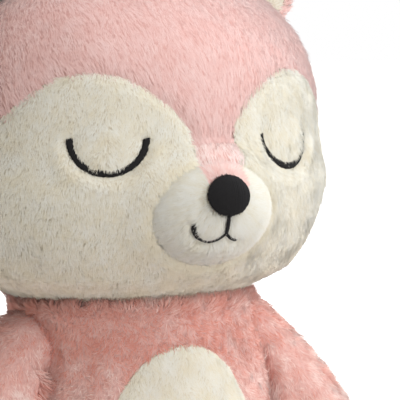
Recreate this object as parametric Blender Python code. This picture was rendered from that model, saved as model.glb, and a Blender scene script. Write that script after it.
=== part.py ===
"""A seated plush fox: sewn covers over stuffed forms, with limbs that swing at their seams.

Metres, +Z up. The fox sits on the floor at Z = 0 and faces -Y, and +X is its left side.
The origin is the middle of the flat of its seat.
"""

import math

import bmesh
import bpy
import numpy as np
from mathutils import Matrix, Vector

# Clearances and cloth
SEAM_GAP = 0.0003
PANEL_SEAM_GAP = 0.0008
FILLING_GAP = 0.0035
CLOTH_THICKNESS = 0.005
FLOOR_CUT = 0.0005
OVERRUN = 0.012

# Body
BODY_HEIGHT = 0.150
BODY_HALF_WIDTH = 0.073
BODY_HALF_DEPTH = 0.066
BELLY_BELOW_NECK = 0.018
BELLY_HALF_HEIGHT = 0.046
BELLY_HALF_WIDTH = 0.038
PELLET_BAG_HALF_WIDTH = 0.027
PELLET_BAG_HEIGHT = 0.024

# Head
HEAD_HEIGHT = 0.162
HEAD_HALF_WIDTH = 0.100
HEAD_HALF_DEPTH = 0.084
HEAD_SET_BACK = 0.005
BRIDGE_SEAM_ANGLE = 7.0

# Muzzle, nose and mouth, with heights above the head's lowest point
MUZZLE_HALF_WIDTH = 0.0305
MUZZLE_HALF_HEIGHT = 0.0235
MUZZLE_HALF_LENGTH = 0.0185
MUZZLE_LIFT = 0.0040
MUZZLE_FORWARD = 0.0785
MUZZLE_HEIGHT = 0.0450
MUZZLE_CLOTH = 0.003
BRIDGE_BROW_HALF_WIDTH = 0.0115
BRIDGE_NOSE_HALF_WIDTH = 0.0085
NOSE_HALF_WIDTH = 0.0106
NOSE_HALF_HEIGHT = 0.0088
NOSE_DOME = 0.0030
NOSE_HEIGHT = 0.0536
MOUTH_THREAD_RADIUS = 0.0010
MOUTH_FORK_HEIGHT = 0.0362
SMILE_DROP = 0.0036
SMILE_HALF_WIDTH = 0.0158
SMILE_END_RISE = 0.0059
SMILE_START_SHARE = 0.12

# Closed eyes
EYE_ANGLE = 29.3
EYE_HALF_ANGLE = 10.8
EYE_TOP_HEIGHT = 0.0790
EYE_DEPTH = 0.0155
EYE_THREAD_RADIUS = 0.0016
EYE_GROOVE_GAP = 0.0005
THREAD_END_SHARE = 0.58

# Ears
EAR_BASE_WIDTH = 0.054
EAR_LENGTH = 0.062
EAR_THICKNESS = 0.011
EAR_OUT = 0.0600
EAR_FORWARD = 0.0040
EAR_HEIGHT = 0.1395
EAR_LEAN = 50.0
EAR_TILT_BACK = 6.0
EAR_LINING_MARGIN = 0.0065
EAR_LINING_THICKNESS = 0.0034
EAR_ROOT_DEPTH = 0.012
EAR_THINNING_SHARE = 0.45
EAR_TIP_SHIFT = 0.012
EAR_TIP_CURVE = 1.3
EAR_BEND = 15.0

# Arms
SHOULDER_OUT = 0.057
SHOULDER_BELOW_NECK = 0.023
SHOULDER_FORWARD = 0.004
SHOULDER_BALL_RADIUS = 0.021
ARM_LENGTH = 0.116
ARM_RADIUS = 0.0265
ARM_SPLAY = 35.5
ARM_FORWARD_LEAN = 7.0

# Legs
HIP_OUT = 0.038
HIP_FORWARD = 0.058
LEG_RADIUS = 0.0270
LEG_LENGTH = 0.100
LEG_SPLAY = 12.0
FOOT_HALF_WIDTH = 0.0285
FOOT_HALF_HEIGHT = 0.0330
LEG_SWING = 20.0
SOLE_THICKNESS = 0.0030
SOLE_ROUNDING = 0.0010
SOLE_MARGIN = 0.0018

# Tail
TAIL_ROOT_BACK = 0.060
TAIL_ROOT_HEIGHT = 0.032
TAIL_ROOT_RADIUS = 0.018
TAIL_RADIUS = 0.030
TAIL_REACH = 0.100
TAIL_RISE = 0.080
TAIL_SWING = 20.0

# Profile tables: share of the height, share of the widest half-width
HEAD_PROFILE_SHARES = (
    (0.00, 0.56), (0.03, 0.655), (0.075, 0.80), (0.12, 0.866), (0.18, 0.925), (0.26, 0.975),
    (0.34, 1.00), (0.42, 0.975), (0.51, 0.955), (0.60, 0.94), (0.67, 0.91), (0.73, 0.868),
    (0.79, 0.80), (0.85, 0.70), (0.92, 0.53), (0.97, 0.335), (1.00, 0.0),
)
BODY_PROFILE_SHARES = (
    (0.00, 0.72), (0.05, 0.86), (0.12, 0.94), (0.22, 0.985), (0.34, 1.00), (0.50, 0.965),
    (0.64, 0.90), (0.78, 0.845), (0.90, 0.795), (1.00, 0.765),
)
PELLET_BAG_PROFILE_SHARES = (
    (0.00, 0.80), (0.25, 0.97), (0.50, 1.00), (0.75, 0.86), (0.93, 0.48), (1.00, 0.0),
)

# The seam between the pink head and the cream face: degrees from the nose, share of the height
FACE_SEAM = (
    (8.2, 0.515), (10.2, 0.555), (13.5, 0.590), (19.2, 0.629), (25.5, 0.660), (33.0, 0.674),
    (40.0, 0.668), (47.0, 0.648), (54.5, 0.602), (63.0, 0.540), (74.0, 0.440), (84.0, 0.320),
    (91.0, 0.210), (95.0, 0.130), (98.5, 0.075), (101.0, 0.045),
)
BROW_SEAM_SHARE = 0.40
CHIN_SEAM_SHARE = 0.020
BACK_COLUMN_ANGLES = (101.8, 111.0, 122.0, 136.0, 151.0, 166.0)

# Limb tables: share of the length, share of the radius
ARM_PROFILE_SHARES = (
    (0.00, 0.80), (0.14, 0.90), (0.34, 1.00), (0.55, 0.97), (0.74, 0.93), (0.88, 0.86),
    (0.96, 0.62), (1.00, 0.00),
)
TAIL_PROFILE_SHARES = (
    (0.00, 0.52), (0.12, 0.64), (0.28, 0.88), (0.46, 1.00), (0.62, 0.97), (0.76, 0.80),
    (0.88, 0.52), (0.96, 0.26), (1.00, 0.00),
)
TAIL_TIP_SHARE = 0.66
TAIL_STEP_SHARE = 0.04
TAIL_SPINE_SHARES = ((0.0, 0.0), (0.34, 0.07), (0.68, 0.24), (0.90, 0.58), (1.0, 1.0))
LEG_SHARES = ((0.00, 0.82), (0.30, 0.87), (0.62, 0.92))
FOOT_SHARES = ((0.80, 0.97, 0.95), (0.90, 1.00, 1.00), (0.97, 0.93, 0.94), (1.00, 0.80, 0.82))
NOSE_DOME_SHARES = ((0.55, 0.0), (1.0, 0.0), (1.0, 0.35), (0.86, 0.72), (0.5, 0.95))
EAR_OUTLINE_SHARES = (
    (0.00, 1.00), (0.20, 1.00), (0.42, 0.90), (0.62, 0.72), (0.80, 0.49), (0.93, 0.27), (1.00, 0.0),
)

# Facets
HEAD_ROWS = 10
FACE_ROWS = 6
BODY_COLUMNS = 28
BODY_ROWS = 9
FILLING_COLUMNS = 20
FILLING_ROWS = 7
CROWN_COLUMNS = 44
CROWN_ROWS = 24
LIMB_COLUMNS = 16
LIMB_ROWS = 8
LIMB_ROW_CURVE = 1.6
MUZZLE_COLUMNS = 24
MUZZLE_ROWS = 12
BALL_SEGMENTS = 20
THREAD_POINTS = 11
THREAD_SIDES = 6
SHARP_EDGE_ANGLE = 50.0
CURVE_SAMPLES = 12
EAR_ROW_STEP = 8
WHOLE_TURN = 360.0

PINK = (0.80, 0.50, 0.47)
CREAM = (0.82, 0.77, 0.68)
THREAD = (0.015, 0.013, 0.014)
FIBRE = (0.90, 0.90, 0.88)
CANVAS = (0.66, 0.62, 0.54)


def clear_scene():
    for item in list(bpy.data.objects):
        bpy.data.objects.remove(item)


def material(name, colour, roughness):
    made = bpy.data.materials.new(name)
    made.use_nodes = True
    shader = made.node_tree.nodes["Principled BSDF"]
    shader.inputs["Base Color"].default_value = (*colour, 1.0)
    shader.inputs["Roughness"].default_value = roughness
    shader.inputs["Metallic"].default_value = 0.0
    return made


def smooth_curve(points, mirrored_end):
    """Catmull-Rom through the points. A mirrored end meets the axis squarely, as a pole does."""
    known = np.array(points, float)
    before = 2.0 * known[0] - known[1]
    after = 2.0 * known[-1] - known[-2]
    if mirrored_end:
        after = known[-2] * (1.0, -1.0)
    knots = np.vstack([before, known, after])
    rows = []
    for i in range(1, len(knots) - 2):
        a, b, c, d = knots[i - 1:i + 3]
        for step in range(CURVE_SAMPLES):
            t = step / CURVE_SAMPLES
            rows.append(0.5 * (2.0 * b + (c - a) * t + (2.0 * a - 5.0 * b + 4.0 * c - d) * t ** 2
                               + (3.0 * b - a - 3.0 * c + d) * t ** 3))
    rows.append(known[-1])
    return np.array(rows)


class Form:
    """A swelling form about an upright axis: oval sections whose size follows a profile table."""

    def __init__(self, shares, half_width, half_depth, height, centre_y, base):
        self.shares = shares
        self.size = (half_width, half_depth, height)
        self.centre_y = centre_y
        self.base = base
        curve = smooth_curve(shares, shares[-1][1] == 0.0)
        self.levels = curve[:, 0]
        self.radii = curve[:, 1]
        steps = np.hypot(np.diff(self.levels) * height, np.diff(self.radii) * half_width)
        self.run = np.concatenate([[0.0], np.cumsum(steps)])
        self.run /= self.run[-1]

    def grown(self, skin, floor=None):
        """The same form with its sides moved out by a skin, and its floor as given."""
        width, depth, height = self.size
        low = -skin if floor is None else floor
        return Form(self.shares, width + skin, depth + skin, height + skin - low,
                    self.centre_y, self.base + low)

    def run_at(self, level):
        return float(np.interp(level, self.levels, self.run))

    def at(self, degrees, run):
        """The point this many degrees from the front, towards the left, at a share of the run."""
        level = float(np.interp(run, self.run, self.levels))
        radius = float(np.interp(run, self.run, self.radii))
        turn = math.radians(degrees)
        width, depth, height = self.size
        return Vector((width * radius * math.sin(turn),
                       self.centre_y - depth * radius * math.cos(turn),
                       self.base + height * level))

    def at_level(self, degrees, level):
        return self.at(degrees, self.run_at(level))

    def ring(self, angles, run):
        if run >= 1.0 and self.radii[-1] == 0.0:
            return [self.at(0.0, 1.0)]
        return [self.at(angle, run) for angle in angles]


def new_object(name, mesh, finish):
    made = bpy.data.objects.new(name, mesh)
    bpy.context.scene.collection.objects.link(made)
    if finish:
        mesh.materials.append(finish)
    return made


def skin_rings(name, rings, finish, ladder=False):
    """One closed body whose skin runs from ring to ring.

    A ring of one point is a pole. An open end is closed by one face, or, for the thin section
    of a panel, by a ladder of faces from its outer to its inner side.
    """
    model = bmesh.new()
    made = [[model.verts.new(point) for point in ring] for ring in rings]
    for low, high in zip(made, made[1:]):
        count = max(len(low), len(high))
        for i in range(count):
            j = (i + 1) % count
            corners = [low[i % len(low)], low[j % len(low)], high[j % len(high)], high[i % len(high)]]
            model.faces.new(list(dict.fromkeys(corners)))
    for end in (made[0], made[-1]):
        if len(end) > 1 and ladder:
            for i in range(len(end) // 2 - 1):
                model.faces.new([end[i], end[i + 1], end[-2 - i], end[-1 - i]])
        elif len(end) > 1:
            model.faces.new(end)
    bmesh.ops.recalc_face_normals(model, faces=model.faces)
    mesh = bpy.data.meshes.new(name)
    model.to_mesh(mesh)
    model.free()
    mesh.shade_smooth()
    mesh.set_sharp_from_angle(angle=math.radians(SHARP_EDGE_ANGLE))
    return new_object(name, mesh, finish)


def guide(name, rings):
    """A closed shape that only cuts or joins others."""
    made = skin_rings(name, rings, None)
    made.hide_render = True
    made.display_type = "WIRE"
    return made


def combine(target, other, operation):
    change = target.modifiers.new(f"{operation.lower()} {other.name}", "BOOLEAN")
    change.object = other
    change.operation = operation
    change.solver = "EXACT"


def even(first, last, count):
    return [first + (last - first) * i / count for i in range(count + 1)]


def turn_angles(count):
    return [WHOLE_TURN * i / count for i in range(count)]


def form_rings(form, columns, rows):
    angles = turn_angles(columns)
    return [form.ring(angles, run) for run in even(0.0, 1.0, rows)]


def ball_rings(radius, segments):
    """A ball about the X axis, which is the axis that the limbs swing about."""
    rings = []
    for turn in even(0.0, math.pi, segments // 2):
        around = radius * math.sin(turn)
        along = -radius * math.cos(turn)
        if turn in (0.0, math.pi):
            rings.append([Vector((along, 0.0, 0.0))])
            continue
        rings.append([
            Vector((along, around * math.cos(a), around * math.sin(a)))
            for a in (math.radians(d) for d in turn_angles(segments))
        ])
    return rings


def ball(name, radius, centre):
    made = guide(name, ball_rings(radius, BALL_SEGMENTS))
    made.location = centre
    return made


def pocket_radius(radius):
    """A faceted pocket in which a faceted ball of this radius turns clear."""
    return (radius + SEAM_GAP) / math.cos(math.pi / BALL_SEGMENTS) ** 2


def hollow_rings(outer, inner, columns, rows):
    """A cup open at its top: up the outside, over the rim and down the inside."""
    return form_rings(outer, columns, rows) + form_rings(inner, columns, rows)[::-1]


def prism(name, outline, y_near, y_far):
    return guide(name, [[Vector((x, y, z)) for x, z in outline] for y in (y_near, y_far)])


def oval(half_width, half_height, centre_z, count):
    return [
        (half_width * math.sin(a), centre_z + half_height * math.cos(a))
        for a in (math.radians(d) for d in turn_angles(count))
    ]


def pivot(name, place):
    """An empty on a joint's axis, which carries the pieces that turn with it."""
    made = bpy.data.objects.new(name, None)
    made.location = place
    bpy.context.scene.collection.objects.link(made)
    return made


def carry(carrier, *pieces):
    """Hangs pieces on a pivot, and leaves them where they are."""
    for piece in pieces:
        piece.parent = carrier
        piece.matrix_parent_inverse = Matrix.Translation(-Vector(carrier.location))


def side_name(side):
    return "left" if side > 0 else "right"


def body_form():
    return Form(BODY_PROFILE_SHARES, BODY_HALF_WIDTH, BODY_HALF_DEPTH, BODY_HEIGHT, 0.0, 0.0)


def open_top(form, rise):
    """The same form, drawn up past the neck so that it cuts right through it."""
    rings = form_rings(form, BODY_COLUMNS, BODY_ROWS)
    return [*rings, [point + Vector((0.0, 0.0, rise)) for point in rings[-1]]]


def hip(side):
    return Vector((side * HIP_OUT, -HIP_FORWARD, LEG_RADIUS - FLOOR_CUT))


def shoulder(side):
    return Vector((side * SHOULDER_OUT, -SHOULDER_FORWARD, BODY_HEIGHT - SHOULDER_BELOW_NECK))


def tail_root():
    return Vector((0.0, TAIL_ROOT_BACK, TAIL_ROOT_HEIGHT))


def limb_pockets():
    """The round pockets in the body that take the limbs' roots."""
    pockets = []
    for side in (-1, 1):
        word = side_name(side)
        pockets.append(ball(f"shoulder pocket {word}", pocket_radius(SHOULDER_BALL_RADIUS), shoulder(side)))
        pockets.append(ball(f"hip pocket {word}", pocket_radius(LEG_RADIUS), hip(side)))
    pockets.append(ball("tail pocket", pocket_radius(TAIL_ROOT_RADIUS), tail_root()))
    return pockets


def make_body(finishes):
    """The pink cover, the cream belly set into it, the fibre filling and the pellet bag."""
    outer = body_form()
    pockets = limb_pockets()
    belly_centre = BODY_HEIGHT - BELLY_BELOW_NECK - BELLY_HALF_HEIGHT
    cover = skin_rings("body_cover", hollow_rings(outer, open_cup(outer), BODY_COLUMNS, BODY_ROWS),
                       finishes["pink"])
    belly_hole = prism("belly seam", oval(BELLY_HALF_WIDTH + PANEL_SEAM_GAP, BELLY_HALF_HEIGHT
                                          + PANEL_SEAM_GAP, belly_centre, BODY_COLUMNS),
                       -BODY_HALF_DEPTH - OVERRUN, 0.0)
    combine(cover, belly_hole, "DIFFERENCE")

    belly = prism("belly_patch", oval(BELLY_HALF_WIDTH, BELLY_HALF_HEIGHT, belly_centre,
                                      BODY_COLUMNS), -BODY_HALF_DEPTH - OVERRUN, 0.0)
    belly.hide_render = False
    belly.display_type = "TEXTURED"
    belly.data.materials.append(finishes["cream"])
    combine(belly, guide("belly face", form_rings(outer, BODY_COLUMNS, BODY_ROWS)), "INTERSECT")
    combine(belly, guide("belly back", open_top(open_cup(outer), OVERRUN)), "DIFFERENCE")

    floor = CLOTH_THICKNESS + SEAM_GAP
    core = body_form().grown(-CLOTH_THICKNESS - FILLING_GAP, floor)
    filling = skin_rings("body_filling", form_rings(core, FILLING_COLUMNS, FILLING_ROWS),
                         finishes["fibre"])
    bag_form = Form(PELLET_BAG_PROFILE_SHARES, PELLET_BAG_HALF_WIDTH, PELLET_BAG_HALF_WIDTH,
                    PELLET_BAG_HEIGHT, 0.0, floor)
    skin_rings("seat_pellet_bag", form_rings(bag_form, LIMB_COLUMNS, FILLING_ROWS), finishes["canvas"])
    room_rings = form_rings(bag_form.grown(FILLING_GAP, 0.0), LIMB_COLUMNS, FILLING_ROWS)
    below = [point - Vector((0.0, 0.0, OVERRUN)) for point in room_rings[0]]
    room = guide("pellet bag room", [below, *room_rings])
    combine(filling, room, "DIFFERENCE")
    for pocket in pockets:
        combine(cover, pocket, "DIFFERENCE")
        combine(filling, pocket, "DIFFERENCE")


def open_cup(form):
    """The inner face of the cover, which keeps the outer form's rim."""
    inner = form.grown(-CLOTH_THICKNESS, CLOTH_THICKNESS)
    width, depth, height = inner.size
    return Form(inner.shares, width, depth, height + CLOTH_THICKNESS, inner.centre_y, inner.base)


def head_form():
    return Form(HEAD_PROFILE_SHARES, HEAD_HALF_WIDTH, HEAD_HALF_DEPTH, HEAD_HEIGHT,
                HEAD_SET_BACK, BODY_HEIGHT + SEAM_GAP)


def face_seam_points():
    """The seam from the fox's right to its left, as pairs of degrees and run along the head."""
    form = head_form()
    half = [(BRIDGE_SEAM_ANGLE, BROW_SEAM_SHARE), *FACE_SEAM]
    whole = [(-a, s) for a, s in reversed(half)] + [(0.0, BROW_SEAM_SHARE)] + half
    return [(a, form.run_at(s)) for a, s in whole]


def make_head(finishes):
    """The pink cover from the seam to the crown, the cream face below it, and the filling."""
    outer = head_form()
    inner = outer.grown(-CLOTH_THICKNESS, 0.0)
    front = face_seam_points()
    seam = dict(front)
    back = [*BACK_COLUMN_ANGLES, WHOLE_TURN / 2, *(-a for a in reversed(BACK_COLUMN_ANGLES))]
    angles = [a for a, _ in front] + back

    def cover_ring(form, share):
        low = [seam.get(a, 0.0) for a in angles]
        return [form.at(a, first + (1.0 - first) * share) for a, first in zip(angles, low)]

    shares = even(0.0, 1.0, HEAD_ROWS)[:-1]
    rings = [[outer.at(0.0, 1.0)]]
    rings += [cover_ring(outer, share) for share in reversed(shares)]
    rings += [cover_ring(inner, share) for share in shares]
    rings += [[inner.at(0.0, 1.0)]]
    cover = skin_rings("head_cover", rings, finishes["pink"])

    gap_share = PANEL_SEAM_GAP / HEAD_HEIGHT
    chin = outer.run_at(CHIN_SEAM_SHARE)
    loops = []
    for angle, top in front:
        runs = even(chin, top - gap_share, FACE_ROWS)
        loops.append([outer.at(angle, run) for run in runs]
                     + [inner.at(angle, run) for run in reversed(runs)])
    face = skin_rings("face_cover", loops, finishes["cream"], ladder=True)

    core = outer.grown(-CLOTH_THICKNESS - FILLING_GAP, 0.0)
    filling = skin_rings("head_filling", form_rings(core, FILLING_COLUMNS, FILLING_ROWS),
                         finishes["fibre"])
    return [cover, face, filling]


def make_chin_band(finishes):
    """The pink band that closes the head's cover round the neck, below the cream face."""
    outer = head_form()
    inner = outer.grown(-CLOTH_THICKNESS, 0.0)
    top = outer.run_at(CHIN_SEAM_SHARE) - PANEL_SEAM_GAP / HEAD_HEIGHT
    angles = [a for a, _ in face_seam_points()]
    loops = [[outer.at(a, 0.0), outer.at(a, top), inner.at(a, top), inner.at(a, 0.0)] for a in angles]
    return skin_rings("chin_band", loops, finishes["pink"], ladder=True)


def make_eyes(face, finishes):
    """A satin-stitched arc for each closed eye, pulled into a groove in the face."""
    made = []
    form = head_form()
    for side in (-1, 1):
        points = []
        for turn in even(-math.pi / 2, math.pi / 2, THREAD_POINTS - 1):
            angle = side * EYE_ANGLE + EYE_HALF_ANGLE * math.sin(turn)
            height = EYE_TOP_HEIGHT - EYE_DEPTH * math.cos(turn)
            points.append(form.at_level(angle, height / HEAD_HEIGHT))
        made.append(thread(f"eye_stitching_{side_name(side)}", points, EYE_THREAD_RADIUS, finishes["thread"]))
        groove = thread(f"eye groove {side_name(side)}", points, EYE_THREAD_RADIUS + EYE_GROOVE_GAP, None)
        combine(face, groove, "DIFFERENCE")
    return made


def thread(name, points, radius, finish):
    """A round cord of stitching along the points, with rounded ends."""
    rings = []
    line = [Vector(p) for p in points]
    first, last = line[0] - line[1], line[-1] - line[-2]
    stations = [(line[0] + first.normalized() * radius * THREAD_END_SHARE, THREAD_END_SHARE)]
    stations += [(p, 1.0) for p in line]
    stations += [(line[-1] + last.normalized() * radius * THREAD_END_SHARE, THREAD_END_SHARE)]
    for i, (place, share) in enumerate(stations):
        ahead = stations[min(i + 1, len(stations) - 1)][0] - stations[max(i - 1, 0)][0]
        side = ahead.cross(Vector((0.0, 1.0, 0.0))).normalized()
        out = side.cross(ahead).normalized()
        rings.append([
            place + (side * math.cos(a) + out * math.sin(a)) * radius * share
            for a in (math.radians(d) for d in turn_angles(THREAD_SIDES))
        ])
    if finish is None:
        return guide(name, rings)
    return skin_rings(name, rings, finish)


def muzzle_centre():
    return Vector((0.0, HEAD_SET_BACK - MUZZLE_FORWARD, BODY_HEIGHT + SEAM_GAP + MUZZLE_HEIGHT))


def muzzle_rings(skin):
    """An egg whose pole leans up towards the nose, grown or shrunk by a skin."""
    centre = muzzle_centre()
    rings = []
    for turn in even(0.0, math.pi, MUZZLE_ROWS):
        if turn in (0.0, math.pi):
            pole = centre + Vector((0.0, -math.cos(turn) * (MUZZLE_HALF_LENGTH + skin),
                                    math.cos(turn) * MUZZLE_LIFT))
            rings.append([pole])
            continue
        around = [math.radians(d) for d in turn_angles(MUZZLE_COLUMNS)]
        rings.append([muzzle_point(a, turn, skin) for a in around])
    return rings


def muzzle_point(around, turn, skin):
    """Turn runs from 0 at the nose's pole, and around from 0 at the fox's left."""
    size = Vector((MUZZLE_HALF_WIDTH + skin, MUZZLE_HALF_LENGTH + skin, MUZZLE_HALF_HEIGHT + skin))
    spread = math.sin(turn)
    return muzzle_centre() + Vector((size.x * spread * math.cos(around), -size.y * math.cos(turn),
                                     size.z * spread * math.sin(around) + math.cos(turn) * MUZZLE_LIFT))


def muzzle_front(x, z, skin):
    """The point of the muzzle's front face over this place, in offsets from the muzzle's centre."""
    width, height = MUZZLE_HALF_WIDTH + skin, MUZZLE_HALF_HEIGHT + skin
    slope = MUZZLE_LIFT / height
    flat = (x / width) ** 2 + (z / height) ** 2
    middle = slope * z / height
    room = middle ** 2 + (1.0 + slope ** 2) * (1.0 - flat)
    share = (middle + math.sqrt(max(0.0, room))) / (1.0 + slope ** 2)
    return muzzle_centre() + Vector((x, -(MUZZLE_HALF_LENGTH + skin) * share, z))


def bridge_prism(name, margin):
    """Stands over the top of the muzzle, from the brow to the nose."""
    brow = BRIDGE_BROW_HALF_WIDTH + margin
    tip = BRIDGE_NOSE_HALF_WIDTH + margin
    centre = muzzle_centre()
    back = centre.y + MUZZLE_HALF_LENGTH
    front = centre.y - MUZZLE_HALF_LENGTH - margin
    low = centre.z + NOSE_HEIGHT - MUZZLE_HEIGHT + NOSE_HALF_HEIGHT / 2 - margin
    high = centre.z + MUZZLE_HALF_HEIGHT + OVERRUN
    outline = [(-brow, back), (brow, back), (tip, front), (-tip, front)]
    rings = [[Vector((x, y, z)) for x, y in outline] for z in (low, high)]
    return guide(name, rings)


def make_muzzle(finishes):
    """The stuffed cream muzzle, and the pink bridge let into its top."""
    head = guide("head face", form_rings(head_form().grown(PANEL_SEAM_GAP), CROWN_COLUMNS, CROWN_ROWS))
    recess = bridge_prism("bridge recess", SEAM_GAP + SEAM_GAP)
    core = guide("muzzle core", muzzle_rings(-MUZZLE_CLOTH - SEAM_GAP))
    combine(recess, core, "DIFFERENCE")
    muzzle = skin_rings("muzzle", muzzle_rings(0.0), finishes["cream"])
    combine(muzzle, recess, "DIFFERENCE")
    combine(muzzle, head, "DIFFERENCE")

    bridge = bridge_prism("muzzle_bridge", 0.0)
    bridge.hide_render = False
    bridge.display_type = "TEXTURED"
    bridge.data.materials.append(finishes["pink"])
    combine(bridge, guide("bridge top", muzzle_rings(0.0)), "INTERSECT")
    combine(bridge, guide("bridge base", muzzle_rings(-MUZZLE_CLOTH)), "DIFFERENCE")
    combine(bridge, head, "DIFFERENCE")
    return [muzzle, bridge]


def make_nose(finishes):
    """A low embroidered dome that follows the muzzle's front."""
    rows = []
    rise = NOSE_HEIGHT - MUZZLE_HEIGHT
    for share, dome_share in NOSE_DOME_SHARES:
        ring = []
        for a in (math.radians(d) for d in turn_angles(LIMB_COLUMNS)):
            x = NOSE_HALF_WIDTH * share * math.cos(a)
            z = rise + NOSE_HALF_HEIGHT * share * math.sin(a)
            ring.append(muzzle_front(x, z, PANEL_SEAM_GAP + NOSE_DOME * dome_share))
        rows.append(ring)
    base = [muzzle_front(0.0, rise, PANEL_SEAM_GAP)]
    crown = [muzzle_front(0.0, rise, PANEL_SEAM_GAP + NOSE_DOME)]
    return skin_rings("nose", [base, *rows, crown], finishes["thread"])


def make_mouth(finishes):
    """The stem below the nose, and an arc to each side of it."""
    radius = MOUTH_THREAD_RADIUS
    skin = radius + SEAM_GAP
    fork = MOUTH_FORK_HEIGHT - MUZZLE_HEIGHT
    top = NOSE_HEIGHT - MUZZLE_HEIGHT - NOSE_HALF_HEIGHT - radius - SEAM_GAP
    stem = [muzzle_front(0.0, z, skin) for z in even(top, fork + radius, 4)]
    made = [thread("mouth_stem_stitching", stem, radius, finishes["thread"])]
    for side in (-1, 1):
        points = []
        for share in even(SMILE_START_SHARE, 1.0, THREAD_POINTS - 1):
            x = side * (radius + SMILE_HALF_WIDTH * share)
            z = fork - radius - SMILE_DROP * math.sin(math.pi * share) + SMILE_END_RISE * share ** 3
            points.append(muzzle_front(x, z, skin))
        made.append(thread(f"smile_stitching_{side_name(side)}", points, radius, finishes["thread"]))
    return made


def ear_place(side):
    """The frame of an ear: its width runs along the base, and its length to the tip."""
    place = Vector((side * EAR_OUT, HEAD_SET_BACK - EAR_FORWARD, BODY_HEIGHT + SEAM_GAP + EAR_HEIGHT))
    lean = Matrix.Rotation(math.radians(side * EAR_LEAN), 4, "Y")
    tilt = Matrix.Rotation(math.radians(EAR_TILT_BACK), 4, "X")
    return Matrix.Translation(place) @ tilt @ lean


def ear_rings(side):
    """Flattened sections from below the root to the tip."""
    rings = []
    for share, width in smooth_curve(EAR_OUTLINE_SHARES, True)[::EAR_ROW_STEP]:
        half = EAR_BASE_WIDTH / 2 * width
        height = EAR_LENGTH * share if share > 0.0 else -EAR_ROOT_DEPTH
        deep = EAR_THICKNESS / 2 * (1.0 - EAR_THINNING_SHARE * share)
        if half < SEAM_GAP:
            rings.append([Vector((ear_tip_shift(1.0, side), 0.0, EAR_LENGTH))])
            continue
        rings.append([
            Vector((ear_tip_shift(share, side) + half * math.cos(a), deep * math.sin(a), height))
            for a in (math.radians(d) for d in turn_angles(LIMB_COLUMNS))
        ])
    return rings


def lining_rings(side, margin, back, low):
    """The lining's outline, a margin inside the ear's, from in front of the ear to its back."""
    up, down = [], []
    for share, width in smooth_curve(EAR_OUTLINE_SHARES, True)[::EAR_ROW_STEP]:
        half = EAR_BASE_WIDTH / 2 * width - margin
        height = EAR_LENGTH * share if share > 0.0 else -low
        if half > margin / 2:
            up.append((ear_tip_shift(share, side) + half, height))
            down.append((ear_tip_shift(share, side) - half, height))
    outline = [*up, *reversed(down)]
    front = -EAR_THICKNESS / 2 - OVERRUN
    return [[Vector((x, y, z)) for x, z in outline] for y in (front, back)]


def ear_tip_shift(share, side):
    """The tip leans back towards the middle of the head, so that the ear's outer edge stands up."""
    return -side * EAR_TIP_SHIFT * share ** EAR_TIP_CURVE


def make_ears(finishes):
    """A pink ear with a cream lining let into its front, cut to the crown for the ear's bend."""
    made = []
    for side in (-1, 1):
        word = side_name(side)
        frame = ear_place(side)
        ear = skin_rings(f"ear_{word}", ear_rings(side), finishes["pink"])
        seat = EAR_LINING_THICKNESS - EAR_THICKNESS / 2
        lining = skin_rings(f"ear_lining_{word}", lining_rings(side, EAR_LINING_MARGIN, seat,
                                                               EAR_ROOT_DEPTH), finishes["cream"])
        room = guide(f"ear lining room {word}", lining_rings(
            side, EAR_LINING_MARGIN - PANEL_SEAM_GAP, seat + SEAM_GAP, EAR_ROOT_DEPTH + OVERRUN))
        whole = guide(f"ear shape {word}", ear_rings(side))
        for piece in (ear, lining, room, whole):
            piece.matrix_world = frame
        combine(ear, room, "DIFFERENCE")
        combine(lining, whole, "INTERSECT")
        axis = (frame.to_3x3() @ Vector((1.0, 0.0, 0.0))).normalized()
        place = frame.translation
        for bend, gap in ((0.0, SEAM_GAP), (-EAR_BEND, PANEL_SEAM_GAP), (EAR_BEND, PANEL_SEAM_GAP)):
            crown = guide(f"crown at {bend:.0f} {word}",
                          form_rings(head_form().grown(gap), CROWN_COLUMNS, CROWN_ROWS))
            crown.matrix_world = (Matrix.Translation(place)
                                  @ Matrix.Rotation(math.radians(bend), 4, axis)
                                  @ Matrix.Translation(-place))
            combine(ear, crown, "DIFFERENCE")
            combine(lining, crown, "DIFFERENCE")
        made.append((ear, lining, place))
    return made


def limb_rings(spine, radii, first, last, rows):
    """Round sections square to a spine, from one share of its length to another."""
    curve = smooth_curve(radii, radii[-1][1] == 0.0)
    rings = []
    for step in even(0.0, 1.0, rows):
        share = last - (last - first) * (1.0 - step) ** LIMB_ROW_CURVE
        radius = float(np.interp(share, curve[:, 0], curve[:, 1]))
        place, ahead = spine(share)
        side = ahead.cross(Vector((0.0, 0.0, 1.0))).normalized()
        up = side.cross(ahead).normalized()
        if radius <= 0.0:
            rings.append([place])
            continue
        rings.append([
            place + (side * math.cos(a) + up * math.sin(a)) * radius
            for a in (math.radians(d) for d in turn_angles(LIMB_COLUMNS))
        ])
    return rings


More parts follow.
